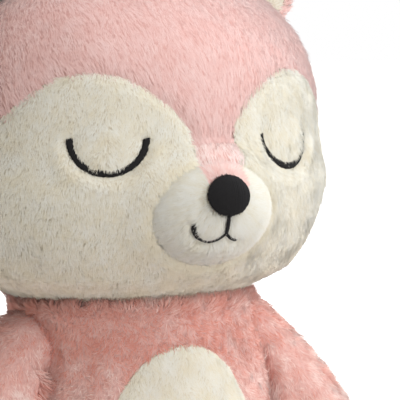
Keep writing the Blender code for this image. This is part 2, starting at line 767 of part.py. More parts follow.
def make_arms(finishes):
    """Arms that hang outwards, cut to the body's side turned about the shoulder's axis."""
    made = []
    body = body_form()
    for side in (-1, 1):
        word = side_name(side)
        place = shoulder(side)
        splay, lean = math.radians(ARM_SPLAY), math.radians(ARM_FORWARD_LEAN)
        ahead = Vector((side * math.sin(splay), -math.sin(lean), -math.cos(splay))).normalized()

        def spine(share):
            return place + ahead * ARM_LENGTH * share, ahead

        radii = [(share, ARM_RADIUS * width) for share, width in ARM_PROFILE_SHARES]
        arm = skin_rings(f"arm_{word}", limb_rings(spine, radii, 0.0, 1.0, LIMB_ROWS), finishes["pink"])
        behind = -side * (ARM_RADIUS + OVERRUN)
        reach = ARM_LENGTH + ARM_RADIUS
        rings = [[Vector((behind, 0.0, 0.0))], turned_ring(behind, reach)]
        for distance in even(reach, 0.0, LIMB_ROWS):
            height = max(0.0, place.z - distance)
            flank = body.at_level(side * 90.0, height / BODY_HEIGHT).x + side * SEAM_GAP * 2
            centre = [Vector((flank - place.x, 0.0, 0.0))]
            rings.append(turned_ring(flank - place.x, distance) if distance else centre)
        flank_cutter = guide(f"flank sweep {word}", rings)
        flank_cutter.location = place
        combine(arm, flank_cutter, "DIFFERENCE")
        combine(arm, ball(f"shoulder root {word}", SHOULDER_BALL_RADIUS, place), "UNION")
        made.append((arm, place))
    return made


def turned_ring(x, radius):
    return [Vector((x, radius * math.cos(a), radius * math.sin(a)))
            for a in (math.radians(d) for d in turn_angles(BALL_SEGMENTS))]


def leg_ahead(side):
    splay = math.radians(LEG_SPLAY)
    return Vector((side * math.sin(splay), -math.cos(splay), 0.0))


def leg_rings(side):
    """Oval sections that lie on the floor, from a narrow thigh to an upright foot."""
    ahead = leg_ahead(side)
    across = ahead.cross(Vector((0.0, 0.0, 1.0)))
    start = hip(side)
    stations = [(share, LEG_RADIUS * width, LEG_RADIUS * width, start.z) for share, width in LEG_SHARES]
    stations += [(share, FOOT_HALF_WIDTH * width, FOOT_HALF_HEIGHT * height, FOOT_HALF_HEIGHT - FLOOR_CUT)
                 for share, width, height in FOOT_SHARES]
    rings = []
    for share, half_width, half_height, middle in stations:
        place = Vector((start.x, start.y, middle)) + ahead * LEG_LENGTH * share
        rings.append([
            place + across * half_width * math.cos(a) + Vector((0.0, 0.0, half_height * math.sin(a)))
            for a in (math.radians(d) for d in turn_angles(LIMB_COLUMNS))
        ])
    return rings


def swing_relief(name, place, away, front, axis, degrees):
    """A block that stands where the body is when a limb has swung by this much."""
    span = LEG_LENGTH + LEG_LENGTH
    near, far = sorted((away * front, -away * span))
    corners = [(-span, near), (span, near), (span, far), (-span, far)]
    made = guide(name, [[Vector((x, y, z)) for x, y in corners] for z in (-span, span)])
    made.matrix_world = Matrix.Translation(place) @ Matrix.Rotation(math.radians(degrees), 4, axis)
    return made


def make_legs(finishes):
    """Legs that lie forward on the floor, relieved at the root for their swing, and their soles."""
    made = []
    span = HIP_FORWARD + LEG_LENGTH + OVERRUN
    corners = ((-span, -span), (span, -span), (span, span), (-span, span))
    floor = guide("floor", [[Vector((x, y, z)) for x, y in corners] for z in (-OVERRUN, 0.0)])
    for side in (-1, 1):
        word = side_name(side)
        leg = skin_rings(f"leg_{word}", leg_rings(side), finishes["pink"])
        front = BODY_HALF_DEPTH + SEAM_GAP + SEAM_GAP - HIP_FORWARD
        for swing in (-LEG_SWING, LEG_SWING):
            relief = swing_relief(f"hip relief {word} {swing:.0f}", hip(side), -1.0, front, "X", swing)
            combine(leg, relief, "DIFFERENCE")
        combine(leg, ball(f"hip root {word}", LEG_RADIUS, hip(side)), "UNION")
        combine(leg, floor, "DIFFERENCE")
        ahead = leg_ahead(side)
        across = ahead.cross(Vector((0.0, 0.0, 1.0)))
        centre = Vector((hip(side).x, hip(side).y, FOOT_HALF_HEIGHT - FLOOR_CUT)) + ahead * (
            LEG_LENGTH + SEAM_GAP)
        width_share, height_share = FOOT_SHARES[-1][1:]
        rings = []
        for depth, trim in ((0.0, 0.0), (SOLE_THICKNESS - SOLE_ROUNDING, 0.0), (SOLE_THICKNESS, SOLE_ROUNDING)):
            half_width = FOOT_HALF_WIDTH * width_share - SOLE_MARGIN - trim
            half_height = FOOT_HALF_HEIGHT * height_share - SOLE_MARGIN - trim
            rings.append([
                centre + ahead * depth + across * half_width * math.cos(a)
                + Vector((0.0, 0.0, half_height * math.sin(a)))
                for a in (math.radians(d) for d in turn_angles(LIMB_COLUMNS))
            ])
        sole = skin_rings(f"sole_{word}", rings, finishes["cream"])
        made.append((leg, sole, hip(side)))
    return made


def tail_spine(share):
    """Back from the root, then up: the place at a share of the length, and the way ahead."""
    known = smooth_curve(TAIL_SPINE_SHARES, False)
    where = np.linspace(0.0, 1.0, len(known))

    def place(at):
        back = float(np.interp(at, where, known[:, 0])) * TAIL_REACH
        rise = float(np.interp(at, where, known[:, 1])) * TAIL_RISE
        return tail_root() + Vector((0.0, back, rise))

    ahead = place(min(1.0, share + TAIL_STEP_SHARE)) - place(max(0.0, share - TAIL_STEP_SHARE))
    return place(share), ahead.normalized()


def make_tail(finishes):
    """A bushy tail that curls up behind, with a cream tip sewn on."""
    radii = [(share, TAIL_RADIUS * width) for share, width in TAIL_PROFILE_SHARES]
    gap_share = PANEL_SEAM_GAP / (TAIL_REACH + TAIL_RISE)
    tail = skin_rings("tail", limb_rings(tail_spine, radii, 0.0, TAIL_TIP_SHARE - gap_share, LIMB_ROWS),
                      finishes["pink"])
    back = BODY_HALF_DEPTH + SEAM_GAP + SEAM_GAP - TAIL_ROOT_BACK
    for swing in (-TAIL_SWING, TAIL_SWING):
        relief = swing_relief(f"tail relief {swing:.0f}", tail_root(), 1.0, back, "Z", swing)
        combine(tail, relief, "DIFFERENCE")
    combine(tail, ball("tail root", TAIL_ROOT_RADIUS, tail_root()), "UNION")
    tip = skin_rings("tail_tip", limb_rings(tail_spine, radii, TAIL_TIP_SHARE + gap_share, 1.0, LIMB_ROWS),
                     finishes["cream"])
    return [tail, tip]


def main():
    clear_scene()
    finishes = {
        "pink": material("pink plush", PINK, 0.9),
        "cream": material("cream plush", CREAM, 0.9),
        "thread": material("black thread", THREAD, 0.55),
        "fibre": material("fibre filling", FIBRE, 0.95),
        "canvas": material("pellet bag canvas", CANVAS, 0.85),
    }
    make_body(finishes)
    head_pieces = make_head(finishes)
    eyes = make_eyes(head_pieces[1], finishes)
    head_pieces += [make_chin_band(finishes), *eyes, *make_muzzle(finishes), make_nose(finishes)]
    head_pieces += make_mouth(finishes)
    neck = pivot("neck pivot", (0.0, 0.0, BODY_HEIGHT))
    carry(neck, *head_pieces)
    for ear, lining, place in make_ears(finishes):
        hinge = pivot(f"{ear.name} pivot", place)
        carry(hinge, ear, lining)
        carry(neck, hinge)
    for arm, place in make_arms(finishes):
        carry(pivot(f"{arm.name} pivot", place), arm)
    for leg, sole, place in make_legs(finishes):
        carry(pivot(f"{leg.name} pivot", place), leg, sole)
    carry(pivot("tail pivot", tail_root()), *make_tail(finishes))


main()
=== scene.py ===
"""The plush fox dressed for the photograph: skins, pile, embroidery, camera and lights."""

import math

import bpy
import numpy as np
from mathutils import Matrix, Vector


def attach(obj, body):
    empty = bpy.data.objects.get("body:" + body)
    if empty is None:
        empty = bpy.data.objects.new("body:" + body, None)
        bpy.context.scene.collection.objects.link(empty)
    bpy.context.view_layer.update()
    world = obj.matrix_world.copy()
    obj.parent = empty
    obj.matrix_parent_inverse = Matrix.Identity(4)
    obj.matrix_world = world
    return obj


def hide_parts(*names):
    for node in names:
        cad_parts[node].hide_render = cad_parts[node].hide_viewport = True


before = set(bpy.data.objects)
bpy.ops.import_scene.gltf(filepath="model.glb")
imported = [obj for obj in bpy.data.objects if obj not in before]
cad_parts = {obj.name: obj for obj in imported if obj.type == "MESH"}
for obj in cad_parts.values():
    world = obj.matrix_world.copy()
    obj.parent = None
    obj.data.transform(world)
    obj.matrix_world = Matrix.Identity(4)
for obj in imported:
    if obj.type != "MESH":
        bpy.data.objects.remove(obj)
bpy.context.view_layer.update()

SEED = 20
MM = 0.001

# The forms that the CAD is built on: share of the height, share of the widest half-width
HEAD_SHARES = (
    (0.00, 0.56), (0.03, 0.655), (0.075, 0.80), (0.12, 0.866), (0.18, 0.925), (0.26, 0.975),
    (0.34, 1.00), (0.42, 0.975), (0.51, 0.955), (0.60, 0.94), (0.67, 0.91), (0.73, 0.868),
    (0.79, 0.80), (0.85, 0.70), (0.92, 0.53), (0.97, 0.335), (1.00, 0.0),
)
BODY_SHARES = (
    (0.00, 0.72), (0.05, 0.86), (0.12, 0.94), (0.22, 0.985), (0.34, 1.00), (0.50, 0.965),
    (0.64, 0.90), (0.78, 0.845), (0.90, 0.795), (1.00, 0.765),
)
FACE_SEAM = (
    (6.9, 0.40), (7.1, 0.47), (7.6, 0.515), (10.0, 0.555), (13.5, 0.590), (19.2, 0.629),
    (25.5, 0.660), (33.0, 0.674), (40.0, 0.668), (47.0, 0.648), (54.5, 0.602), (63.0, 0.540),
    (74.0, 0.440), (84.0, 0.320), (91.0, 0.210), (95.0, 0.130), (98.5, 0.075), (101.0, 0.045),
)
BROW_SEAM_SHARE = 0.40
CHIN_SEAM_SHARE = 0.020
SEAM_END_ANGLE = 101.0
SEAM_SHIFT = 1.3
BROW_LINE = 0.2268
BROW_REACH = 17 * MM
WEDGE_ANGLE = 14.0

HEAD_HALF = (0.100, 0.084)
HEAD_HEIGHT = 0.162
HEAD_BASE = 0.1503
HEAD_CENTRE_Y = 0.005
NAP_CENTRE = np.array([0.0, HEAD_CENTRE_Y, HEAD_BASE + 0.075])
BODY_HALF = (0.073, 0.066)
BODY_HEIGHT = 0.150
BELLY_HALF = (0.038, 0.046)
BELLY_HEIGHT = 0.086
EYE_ANGLE = 29.3
EYE_HALF_ANGLE = 10.8
EYE_TOP = 0.0790
EYE_DEPTH = 0.0155
MUZZLE_CENTRE = np.array([0.0, -0.0735, HEAD_BASE + 0.0450])
MUZZLE_HALF = np.array([0.0305, 0.0185, 0.0235])
MUZZLE_LIFT = 0.0040
NOSE_RISE = 0.0086
NOSE_HALF = (0.0106, 0.0088)
NOSE_DOME = 0.0030
BRIDGE_X = 1.0 * MM
BRIDGE_HALF = 8.4 * MM
BRIDGE_SKIN_HALF = 8.0 * MM
MOUTH_FORK = -0.0088
SMILE_HALF_WIDTH = 0.0158
SMILE_PATH = (
    (0.0, 0.0), (0.2, -0.0023), (0.44, -0.0033), (0.62, -0.0028), (0.79, -0.0014), (0.90, 0.0004),
    (0.97, 0.0025), (1.0, 0.0050),
)
SHOULDER = (0.057, -0.004, 0.127)
ARM_AHEAD = (0.575, -0.121, -0.809)
ARM_RADIUS = 0.0265
EAR_BASE = (0.060, 0.001, 0.2898)
TAIL_ROOT = (0.0, 0.11, 0.05)

# Lengths of the pile, and how many strands are scattered before those under seams are left out
HEAD_NAP, BROW_NAP, CHIN_NAP = 7.6 * MM, 5.5 * MM, 4.4 * MM
FACE_NAP, MUZZLE_NAP, BELLY_NAP = 4.2 * MM, 5.2 * MM, 4.0 * MM
BODY_NAP, NECK_NAP, ARM_NAP, LEG_NAP = 4.6 * MM, 1.8 * MM, 5.4 * MM, 5.2 * MM
SOLE_NAP, EAR_NAP, LINING_NAP, TAIL_NAP = 2.6 * MM, 4.2 * MM, 3.2 * MM, 7.5 * MM
INSIDE_NAP = 2.2 * MM
HEAD_STRANDS, FACE_STRANDS, MUZZLE_STRANDS = 225000, 135000, 52000
BODY_STRANDS, NECK_STRANDS, BELLY_STRANDS = 140000, 260000, 34000
MOST_STRANDS = 32000
STRAND_TWIST = 0.22
STRAND_ROUNDING = 0.12
TIP_SHADING = 0.2

# The camera, in degrees and metres, and the lamps: place from the target as back, right and up,
# watts, size
CAMERA_TURN, CAMERA_RISE = -28.24, 4.97
CAMERA_TARGET = (0.0, 0.005, 0.2043)
CAMERA_DISTANCE = 1.1
CAMERA_AIM = (0.0354, 0.0103)
CAMERA_LENS, CAMERA_SENSOR = 206.25, 36.0
LAMPS = {
    "key": ((0.95, 1.10, 1.10), 23.0, 2.0),
    "back": ((-1.5, -0.7, 0.7), 13.0, 2.0),
    "rim": ((-0.6, 1.1, 1.0), 14.0, 1.8),
}
LAMP_COLOUR = (0.96, 0.99, 1.0)
ROOM_COLOUR, ROOM_STRENGTH = (1.0, 0.965, 0.89), 0.565
FLOOR_COLOUR, FLOOR_HALF = (0.86, 0.86, 0.86), 6.0
GLOW_REACH, GLOW_STRENGTH = (0.35, 1.1), (0.10, 0.80)


def smooth_curve(points, mirrored_end=False, samples=16):
    """Catmull-Rom through the points."""
    known = np.array(points, float)
    after = known[-2] * (1.0, -1.0) if mirrored_end else 2.0 * known[-1] - known[-2]
    knots = np.vstack([2.0 * known[0] - known[1], known, after])
    rows = []
    for i in range(1, len(knots) - 2):
        a, b, c, d = knots[i - 1:i + 3]
        for step in range(samples):
            t = step / samples
            bend = 2.0 * a - 5.0 * b + 4.0 * c - d
            rows.append(0.5 * (2.0 * b + (c - a) * t + bend * t ** 2
                               + (3.0 * b - a - 3.0 * c + d) * t ** 3))
    rows.append(known[-1])
    return np.array(rows)


class Form:
    """Oval sections about an upright axis, as in the CAD."""

    def __init__(self, shares, half_width, half_depth, height, centre_y, base):
        self.size = (half_width, half_depth, height)
        self.centre_y, self.base = centre_y, base
        curve = smooth_curve(shares, shares[-1][1] == 0.0)
        self.levels, self.radii = curve[:, 0], curve[:, 1]
        steps = np.hypot(np.diff(self.levels) * height, np.diff(self.radii) * half_width)
        run = np.concatenate([[0.0], np.cumsum(steps)])
        self.run = run / run[-1]

    def run_at(self, level):
        return np.interp(level, self.levels, self.run)

    def at(self, degrees, run):
        level = np.interp(run, self.run, self.levels)
        radius = np.interp(run, self.run, self.radii)
        turn = np.radians(degrees)
        width, depth, height = self.size
        return np.stack([width * radius * np.sin(turn),
                         self.centre_y - depth * radius * np.cos(turn),
                         self.base + height * level + 0.0 * turn], axis=-1)

    def front(self, x, z):
        """The point of the front face at this place."""
        level = (z - self.base) / self.size[2]
        radius = np.interp(level, self.levels, self.radii)
        turn = np.degrees(np.arcsin(np.clip(x / (self.size[0] * radius), -1.0, 1.0)))
        return self.at(turn, self.run_at(level))

    def depth_inside(self, points):
        """How far inside the form's side a point is, in metres and roughly, negative outside."""
        level = np.clip((points[:, 2] - self.base) / self.size[2], 0.0, 1.0)
        radius = np.maximum(np.interp(level, self.levels, self.radii), 1e-4)
        far = np.hypot(points[:, 0] / (self.size[0] * radius),
                       (points[:, 1] - self.centre_y) / (self.size[1] * radius))
        return (1.0 - far) * 0.5 * (self.size[0] + self.size[1]) * radius


HEAD = Form(HEAD_SHARES, *HEAD_HALF, HEAD_HEIGHT, HEAD_CENTRE_Y, HEAD_BASE)
BODY = Form(BODY_SHARES, *BODY_HALF, BODY_HEIGHT, 0.0, 0.0)


def unit(vectors):
    return vectors / np.maximum(np.linalg.norm(vectors, axis=-1, keepdims=True), 1e-12)


def dot(a, b):
    return np.sum(a * b, axis=-1, keepdims=True)


def sideways(points):
    """The level way out from the upright axis."""
    return unit(points * [1.0, 1.0, 0.0])


def bump(distance, width):
    return np.exp(-(distance / width) ** 2)


def ease(value, low, high):
    t = np.clip((value - low) / (high - low), 0.0, 1.0)
    return t * t * (3.0 - 2.0 * t)


class Waves:
    """A smooth random field: its value and its gradient."""

    def __init__(self, size, seed, count=22):
        rng = np.random.default_rng(SEED + seed)
        self.k = unit(rng.normal(size=(count, 3))) * (2.0 * math.pi / size)
        self.k *= rng.uniform(0.65, 1.5, (count, 1))
        self.phase = rng.uniform(0.0, 2.0 * math.pi, count)
        self.scale = math.sqrt(2.0 / count)

    def value(self, points):
        return np.sin(points @ self.k.T + self.phase).sum(axis=1) * self.scale

    def pull(self, points):
        """The way to the nearest crest, about 1 long."""
        slope = (np.cos(points @ self.k.T + self.phase) @ self.k) * self.scale
        return slope / np.linalg.norm(self.k, axis=1).mean()


def way_to(points, line):
    """Distance from each point to a line of close-set points, and the way to it."""
    nearest_point = np.empty_like(points)
    for start in range(0, len(points), 20000):
        part = points[start:start + 20000]
        square = ((part ** 2).sum(axis=1)[:, None] + (line ** 2).sum(axis=1)[None, :]
                  - 2.0 * part @ line.T)
        nearest_point[start:start + 20000] = line[square.argmin(axis=1)]
    gap = nearest_point - points
    distance = np.linalg.norm(gap, axis=1)
    return distance, gap / np.maximum(distance, 1e-9)[:, None]


def nearest(points, line):
    return way_to(points, line)[0]


class Skin:
    """A surface as arrays: points, normals, quads or triangles."""

    def __init__(self, points, faces, normals=None):
        self.points = np.asarray(points, float)
        self.faces = [np.asarray(f, int) for f in (faces if isinstance(faces, list) else [faces])]
        self.normals = self.find_normals() if normals is None else normals

    def triangles(self):
        parts = []
        for f in self.faces:
            for corner in range(2, f.shape[1]):
                parts.append(f[:, [0, corner - 1, corner]])
        return np.vstack(parts)

    def find_normals(self):
        tri = self.triangles()
        a, b, c = (self.points[tri[:, i]] for i in range(3))
        face = np.cross(b - a, c - a)
        total = np.zeros_like(self.points)
        for i in range(3):
            np.add.at(total, tri[:, i], face)
        return unit(total)

    def moved(self, out):
        return Skin(self.points + self.normals * np.asarray(out).reshape(-1, 1), self.faces)

    def scatter(self, rng, count):
        """Points spread evenly over the surface, with the surface's own normals there."""
        tri = self.triangles()
        a, b, c = (self.points[tri[:, i]] for i in range(3))
        area = np.linalg.norm(np.cross(b - a, c - a), axis=1)
        ends = np.cumsum(area)
        pick = np.searchsorted(ends, rng.random(count) * ends[-1])
        pick = np.minimum(pick, len(tri) - 1)
        s = np.sqrt(rng.random((count, 1)))
        t = rng.random((count, 1))
        w = (1.0 - s, s * (1.0 - t), s * t)
        place = sum(w[i] * self.points[tri[pick, i]] for i in range(3))
        normal = unit(sum(w[i] * self.normals[tri[pick, i]] for i in range(3)))
        return place, normal


def grid(points, closed=True):
    """Quads of a rows by columns array of points, joined round when closed."""
    rows, columns = points.shape[:2]
    ids = np.arange(rows * columns).reshape(rows, columns)
    if closed:
        ids = np.hstack([ids, ids[:, :1]])
    quads = np.stack([ids[:-1, :-1], ids[:-1, 1:], ids[1:, 1:], ids[1:, :-1]], axis=-1)
    return Skin(points.reshape(-1, 3), quads.reshape(-1, 4))


def closed_form(rows, lid=False):
    """Rings from the floor up, closed by a flat floor and by a flat lid or the last ring's face."""
    def inward(ring, shares):
        centre = ring.mean(axis=0)
        return [centre + (ring - centre) * share for share in shares]

    floor = inward(rows[0], (0.3, 0.6, 0.85, 0.96))
    top = inward(rows[-1], (0.96, 0.85, 0.6, 0.3)) if lid else []
    stack = np.stack([*floor, *rows, *top])
    count = stack.shape[1]
    ids = np.arange(count)[None, :]
    quads = grid(stack).faces[0]
    faces = [quads, ids[:, ::-1], ids + (len(stack) - 1) * count]
    return Skin(stack.reshape(-1, 3), faces)


def new_mesh(name, points, faces, smooth=True):
    mesh = bpy.data.meshes.new(name)
    faces = [f for f in faces if len(f)]
    corners = np.concatenate([f.ravel() for f in faces]).astype(np.int32)
    sizes = np.concatenate([np.full(len(f), f.shape[1]) for f in faces]).astype(np.int32)
    starts = (np.cumsum(sizes) - sizes).astype(np.int32)
    mesh.vertices.add(len(points))
    mesh.vertices.foreach_set("co", np.asarray(points, np.float32).ravel())
    mesh.loops.add(len(corners))
    mesh.loops.foreach_set("vertex_index", corners)
    mesh.polygons.add(len(sizes))
    mesh.polygons.foreach_set("loop_start", starts)
    mesh.update(calc_edges=True)
    if smooth:
        mesh.shade_smooth()
    return mesh


def new_piece(name, mesh, carrier, material, stands_for=()):
    """A piece that rides on a body by name, or on another piece as its child."""
    piece = bpy.data.objects.new(name, mesh)
    bpy.context.scene.collection.objects.link(piece)
    mesh.materials.append(material)
    if isinstance(carrier, str):
        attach(piece, carrier)
    else:
        piece.parent = carrier
    if stands_for:
        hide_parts(*stands_for)
    return piece


def skin_piece(name, skin, body, material, stands_for):
    mesh = new_mesh(name, skin.points, skin.faces)
    return new_piece(name, mesh, body, material, stands_for)


def cloth_shell(name, skin, body, material, stands_for, thickness):
    """The cloth that the pile stands on, as a thin closed sheet."""
    piece = skin_piece(name, skin, body, material, stands_for)
    solid = piece.modifiers.new("cloth", "SOLIDIFY")
    solid.thickness = thickness
    solid.offset = -1.0
    return piece


def mesh_arrays(mesh):
    """The points and the triangles of a mesh."""
    place = np.empty(len(mesh.vertices) * 3)
    mesh.vertices.foreach_get("co", place)
    mesh.calc_loop_triangles()
    tri = np.empty(len(mesh.loop_triangles) * 3, np.int32)
    mesh.loop_triangles.foreach_get("vertices", tri)
    return place.reshape(-1, 3), tri.reshape(-1, 3)


def soft_copy(node, voxel, rounds):
    """A smooth closed skin over a CAD solid, as arrays."""
    points, faces = mesh_arrays(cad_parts[node].data)
    raw = bpy.data.objects.new("raw", new_mesh("raw", points, [faces]))
    bpy.context.scene.collection.objects.link(raw)
    remesh = raw.modifiers.new("remesh", "REMESH")
    remesh.mode = "VOXEL"
    remesh.voxel_size = voxel
    smooth = raw.modifiers.new("smooth", "SMOOTH")
    smooth.factor = 0.5
    smooth.iterations = rounds
    made = raw.evaluated_get(bpy.context.evaluated_depsgraph_get()).to_mesh()
    skin = Skin(*mesh_arrays(made))
    bpy.data.objects.remove(raw)
    return skin


def shader(name, colour, roughness, sheen=0.0, specular=0.3):
    material = bpy.data.materials.new(name)
    material.use_nodes = True
    node = material.node_tree.nodes["Principled BSDF"]
    node.inputs["Base Color"].default_value = (*colour, 1.0)
    node.inputs["Roughness"].default_value = roughness
    node.inputs["Specular IOR Level"].default_value = specular
    node.inputs["Sheen Weight"].default_value = sheen
    node.inputs["Sheen Roughness"].default_value = 0.5
    return material, node


def wire(tree, *joins):
    for source, out, target, into in joins:
        tree.links.new(source.outputs[out], target.inputs[into])


def colour_ramp(tree, first, last, *between):
    node = tree.nodes.new("ShaderNodeValToRGB")
    elements = node.color_ramp.elements
    for i, (place, colour) in enumerate((first, last)):
        elements[i].position, elements[i].color = place, (*colour, 1.0)
    for place, colour in between:
        elements.new(place).color = (*colour, 1.0)
    return node


def pile_material(name, root, middle, tip, deep):
    """Pile: deep at the root, light at the tip, each strand between its colour and a deeper one."""
    material, node = shader(name, middle, 0.85, 0.15, 0.12)
    tree = material.node_tree
    place = tree.nodes.new("ShaderNodeUVMap")
    place.uv_map = "OFBake"
    split = tree.nodes.new("ShaderNodeSeparateXYZ")
    along = colour_ramp(tree, (0.0, root), (0.95, tip), (0.5, middle))
    tint = colour_ramp(tree, (0.0, deep), (1.0, (1.0, 1.0, 1.0)))
    mix = tree.nodes.new("ShaderNodeMix")
    mix.data_type = "RGBA"
    mix.blend_type = "MULTIPLY"
    mix.inputs["Factor"].default_value = 1.0
    wire(tree, (place, "UV", split, "Vector"), (split, "Y", along, "Fac"),
         (split, "X", tint, "Fac"), (along, "Color", mix, "A"), (tint, "Color", mix, "B"),
         (mix, "Result", node, "Base Color"))
    return material


def cloth_material(name, dark, light, size):
    """The knitted ground of the plush, which shows only between the strands."""
    material, node = shader(name, light, 0.9, 0.1, 0.1)
    tree = material.node_tree
    place = tree.nodes.new("ShaderNodeTexCoord")
    noise = tree.nodes.new("ShaderNodeTexNoise")
    noise.inputs["Scale"].default_value = size
    noise.inputs["Detail"].default_value = 3.0
    ramp = colour_ramp(tree, (0.3, dark), (0.7, light))
    relief = tree.nodes.new("ShaderNodeBump")
    relief.inputs["Distance"].default_value = 0.0004
    relief.inputs["Strength"].default_value = 0.6
    wire(tree, (place, "Object", noise, "Vector"), (noise, "Fac", ramp, "Fac"),
         (noise, "Fac", relief, "Height"), (ramp, "Color", node, "Base Color"),
         (relief, "Normal", node, "Normal"))
    return material


# The deep colour of each pile is the random deeper tone of its strands, and it also carries the
# painted shade that the dressing code adds by lowering the tint.
PINK_PILE = pile_material("pink pile", (0.82, 0.53, 0.49), (0.86, 0.61, 0.58),
                          (0.88, 0.66, 0.64), (0.94, 0.82, 0.80))
BODY_PILE = pile_material("body pink pile", (0.76, 0.40, 0.35), (0.89, 0.675, 0.625),
                          (0.91, 0.72, 0.68), (0.83, 0.46, 0.40))
CREAM_PILE = pile_material("cream pile", (0.77, 0.71, 0.58), (0.84, 0.81, 0.735),
                           (0.87, 0.85, 0.79), (0.96, 0.90, 0.78))
WHITE_PILE = pile_material("muzzle pile", (0.72, 0.67, 0.57), (0.785, 0.765, 0.71),
                           (0.805, 0.79, 0.75), (0.95, 0.91, 0.82))
BRIDGE_PILE = pile_material("bridge pile", (0.88, 0.64, 0.60), (0.92, 0.75, 0.72),
                            (0.93, 0.81, 0.79), (0.92, 0.72, 0.69))
PINK_CLOTH = cloth_material("pink ground", (0.74, 0.44, 0.40), (0.82, 0.53, 0.49), 900.0)
CREAM_CLOTH = cloth_material("cream ground", (0.70, 0.61, 0.48), (0.80, 0.73, 0.61), 900.0)
THREAD, _ = shader("black thread", (0.013, 0.012, 0.013), 0.7, 0.0, 0.16)


def strands(root, normal, lit, flow, length, low, high, width, tint, rng):
    """Slim closed spindles that rise from the skin and lie along the flow, shaded along lit."""
    count = len(root)
    side = unit(np.cross(normal, flow))
    turn = rng.normal(0.0, STRAND_TWIST, (count, 1))
    facing = side * np.cos(turn) + normal * np.sin(turn)
    half = (length * 0.5).reshape(-1, 1)
    low, high = low.reshape(-1, 1), high.reshape(-1, 1)
    middle = root + half * (normal * np.cos(low) + flow * np.sin(low))
    tip = middle + half * (normal * np.cos(high) + flow * np.sin(high))
    wide = (width * 0.5).reshape(-1, 1)
    under = normal * np.sin(low) - flow * np.cos(low)
    points = np.stack([root, middle - wide * facing, middle + wide * facing,
                       middle - 1.1 * wide * under, tip], axis=1)
    round_off = STRAND_ROUNDING * facing
    shade = np.stack([lit, unit(lit - round_off), unit(lit + round_off), lit,
                      unit(lit + TIP_SHADING * flow)], axis=1)
    uv = np.empty((count, 5, 2))
    spread = np.array([0.0, -1.0, 1.0, 0.5, 0.0]) * 0.004
    uv[:, :, 0] = np.clip(tint, 0.02, 0.98).reshape(-1, 1) + spread
    uv[:, :, 1] = np.array([0.02, 0.52, 0.52, 0.46, 0.98])
    return points, shade, uv


SPINDLE = np.array([(0, 1, 2), (1, 4, 2), (0, 3, 1), (0, 2, 3), (1, 3, 4), (3, 2, 4)])


def pile(name, carrier, material, root, normal, flow, length, lean, width, tint, clump,
         rng, lit=None):
    """Pieces of pile, each small enough for one mesh.

    The clump is the size and the strength of the pull that draws tips together. Fibres let light
    through, so the strands don't cast shadows: their skins do.
    """
    pull = Waves(clump[0], 3).pull(root)
    pull -= dot(pull, normal) * normal
    points, shade, uv = strands(root, normal, normal if lit is None else lit, flow, length,
                                lean * 0.78, lean * 1.22, width, tint, rng)
    points[:, 4] += pull * clump[1]
    points[:, 1:4] += (pull * clump[1] * 0.4)[:, None, :]
    order = np.argsort(root[:, 2], kind="stable")
    parts = math.ceil(len(root) / MOST_STRANDS)
    for i in range(parts):
        ids = order[i * len(order) // parts:(i + 1) * len(order) // parts]
        triangles = (np.arange(len(ids))[:, None, None] * 5 + SPINDLE).reshape(-1, 3)
        word = name if parts == 1 else f"{name}_{i + 1}"
        mesh = new_mesh(word, points[ids].reshape(-1, 3), [triangles])
        layer = mesh.uv_layers.new(name="OFBake")
        flat = uv[ids].reshape(-1, 2)
        layer.data.foreach_set("uv", flat[triangles.ravel()].astype(np.float32).ravel())
        mesh.normals_split_custom_set_from_vertices(shade[ids].reshape(-1, 3).tolist())
        new_piece(word, mesh, carrier, material).visible_shadow = False


def flow_of(field, normal, rng, wander, swirl=None, root=None):
    """The field laid into the surface, with each strand a little off its neighbours' way."""
    flow = unit(field - dot(field, normal) * normal)
    side = np.cross(normal, flow)
    turn = rng.normal(0.0, wander, (len(flow), 1))
    if swirl is not None:
        turn = turn + swirl[1] * Waves(swirl[0], 7).value(root).reshape(-1, 1)
    return unit(flow * np.cos(turn) + side * np.sin(turn))


def tints(root, rng, fine=4 * MM):
    """0 for a strand of the deep colour and 1 for the plain one."""
    value = 0.55 + 0.13 * Waves(14 * MM, 11).value(root) + 0.10 * Waves(fine, 12).value(root)
    return value + rng.normal(0.0, 0.20, len(root))


def lengths(nap, root, rng, vary=0.0, size=6 * MM):
    """Each strand's length, uneven from strand to strand and in soft patches."""
    return nap * rng.uniform(0.7, 1.1, len(root)) * (1.0 + vary * Waves(size, 2).value(root))


def widths(rng, count, low=0.24, high=0.38):
    return rng.uniform(low, high, count) * MM


# The seam lines, as close-set points on the head's form
def seam_run(angle):
    """How far up the head the seam is at an angle from the nose."""
    curve = smooth_curve(FACE_SEAM)
    away = np.abs(angle - SEAM_SHIFT * bump(angle, 22.0))
    share = np.interp(away, curve[:, 0], curve[:, 1], left=BROW_SEAM_SHARE, right=FACE_SEAM[-1][1])
    return HEAD.run_at(share)


def seam_line():
    angle = np.concatenate([np.arange(-SEAM_END_ANGLE, -WEDGE_ANGLE, 1.0),
                            np.arange(-WEDGE_ANGLE, WEDGE_ANGLE, 0.15),
                            np.arange(WEDGE_ANGLE, SEAM_END_ANGLE, 1.0)])
    return HEAD.at(angle, seam_run(angle))


def eye_line(side, count=120):
    turn = np.linspace(-math.pi / 2, math.pi / 2, count)
    angle = side * EYE_ANGLE + EYE_HALF_ANGLE * np.sin(turn)
    return HEAD.at(angle, HEAD.run_at((EYE_TOP - EYE_DEPTH * np.cos(turn)) / HEAD_HEIGHT))


def muzzle_front(x, z, skin=0.0):
    """The point of the muzzle's front over a place, given as offsets from its centre."""
    x, z = np.broadcast_arrays(x, z)
    height = MUZZLE_HALF[2] + skin
    slope = MUZZLE_LIFT / height
    flat = (x / (MUZZLE_HALF[0] + skin)) ** 2 + (z / height) ** 2
    middle = slope * z / height
    room = middle ** 2 + (1.0 + slope ** 2) * (1.0 - flat)
    share = (middle + np.sqrt(np.maximum(0.0, room))) / (1.0 + slope ** 2)
    return MUZZLE_CENTRE + np.stack([x, -(MUZZLE_HALF[1] + skin) * share, z], axis=-1)


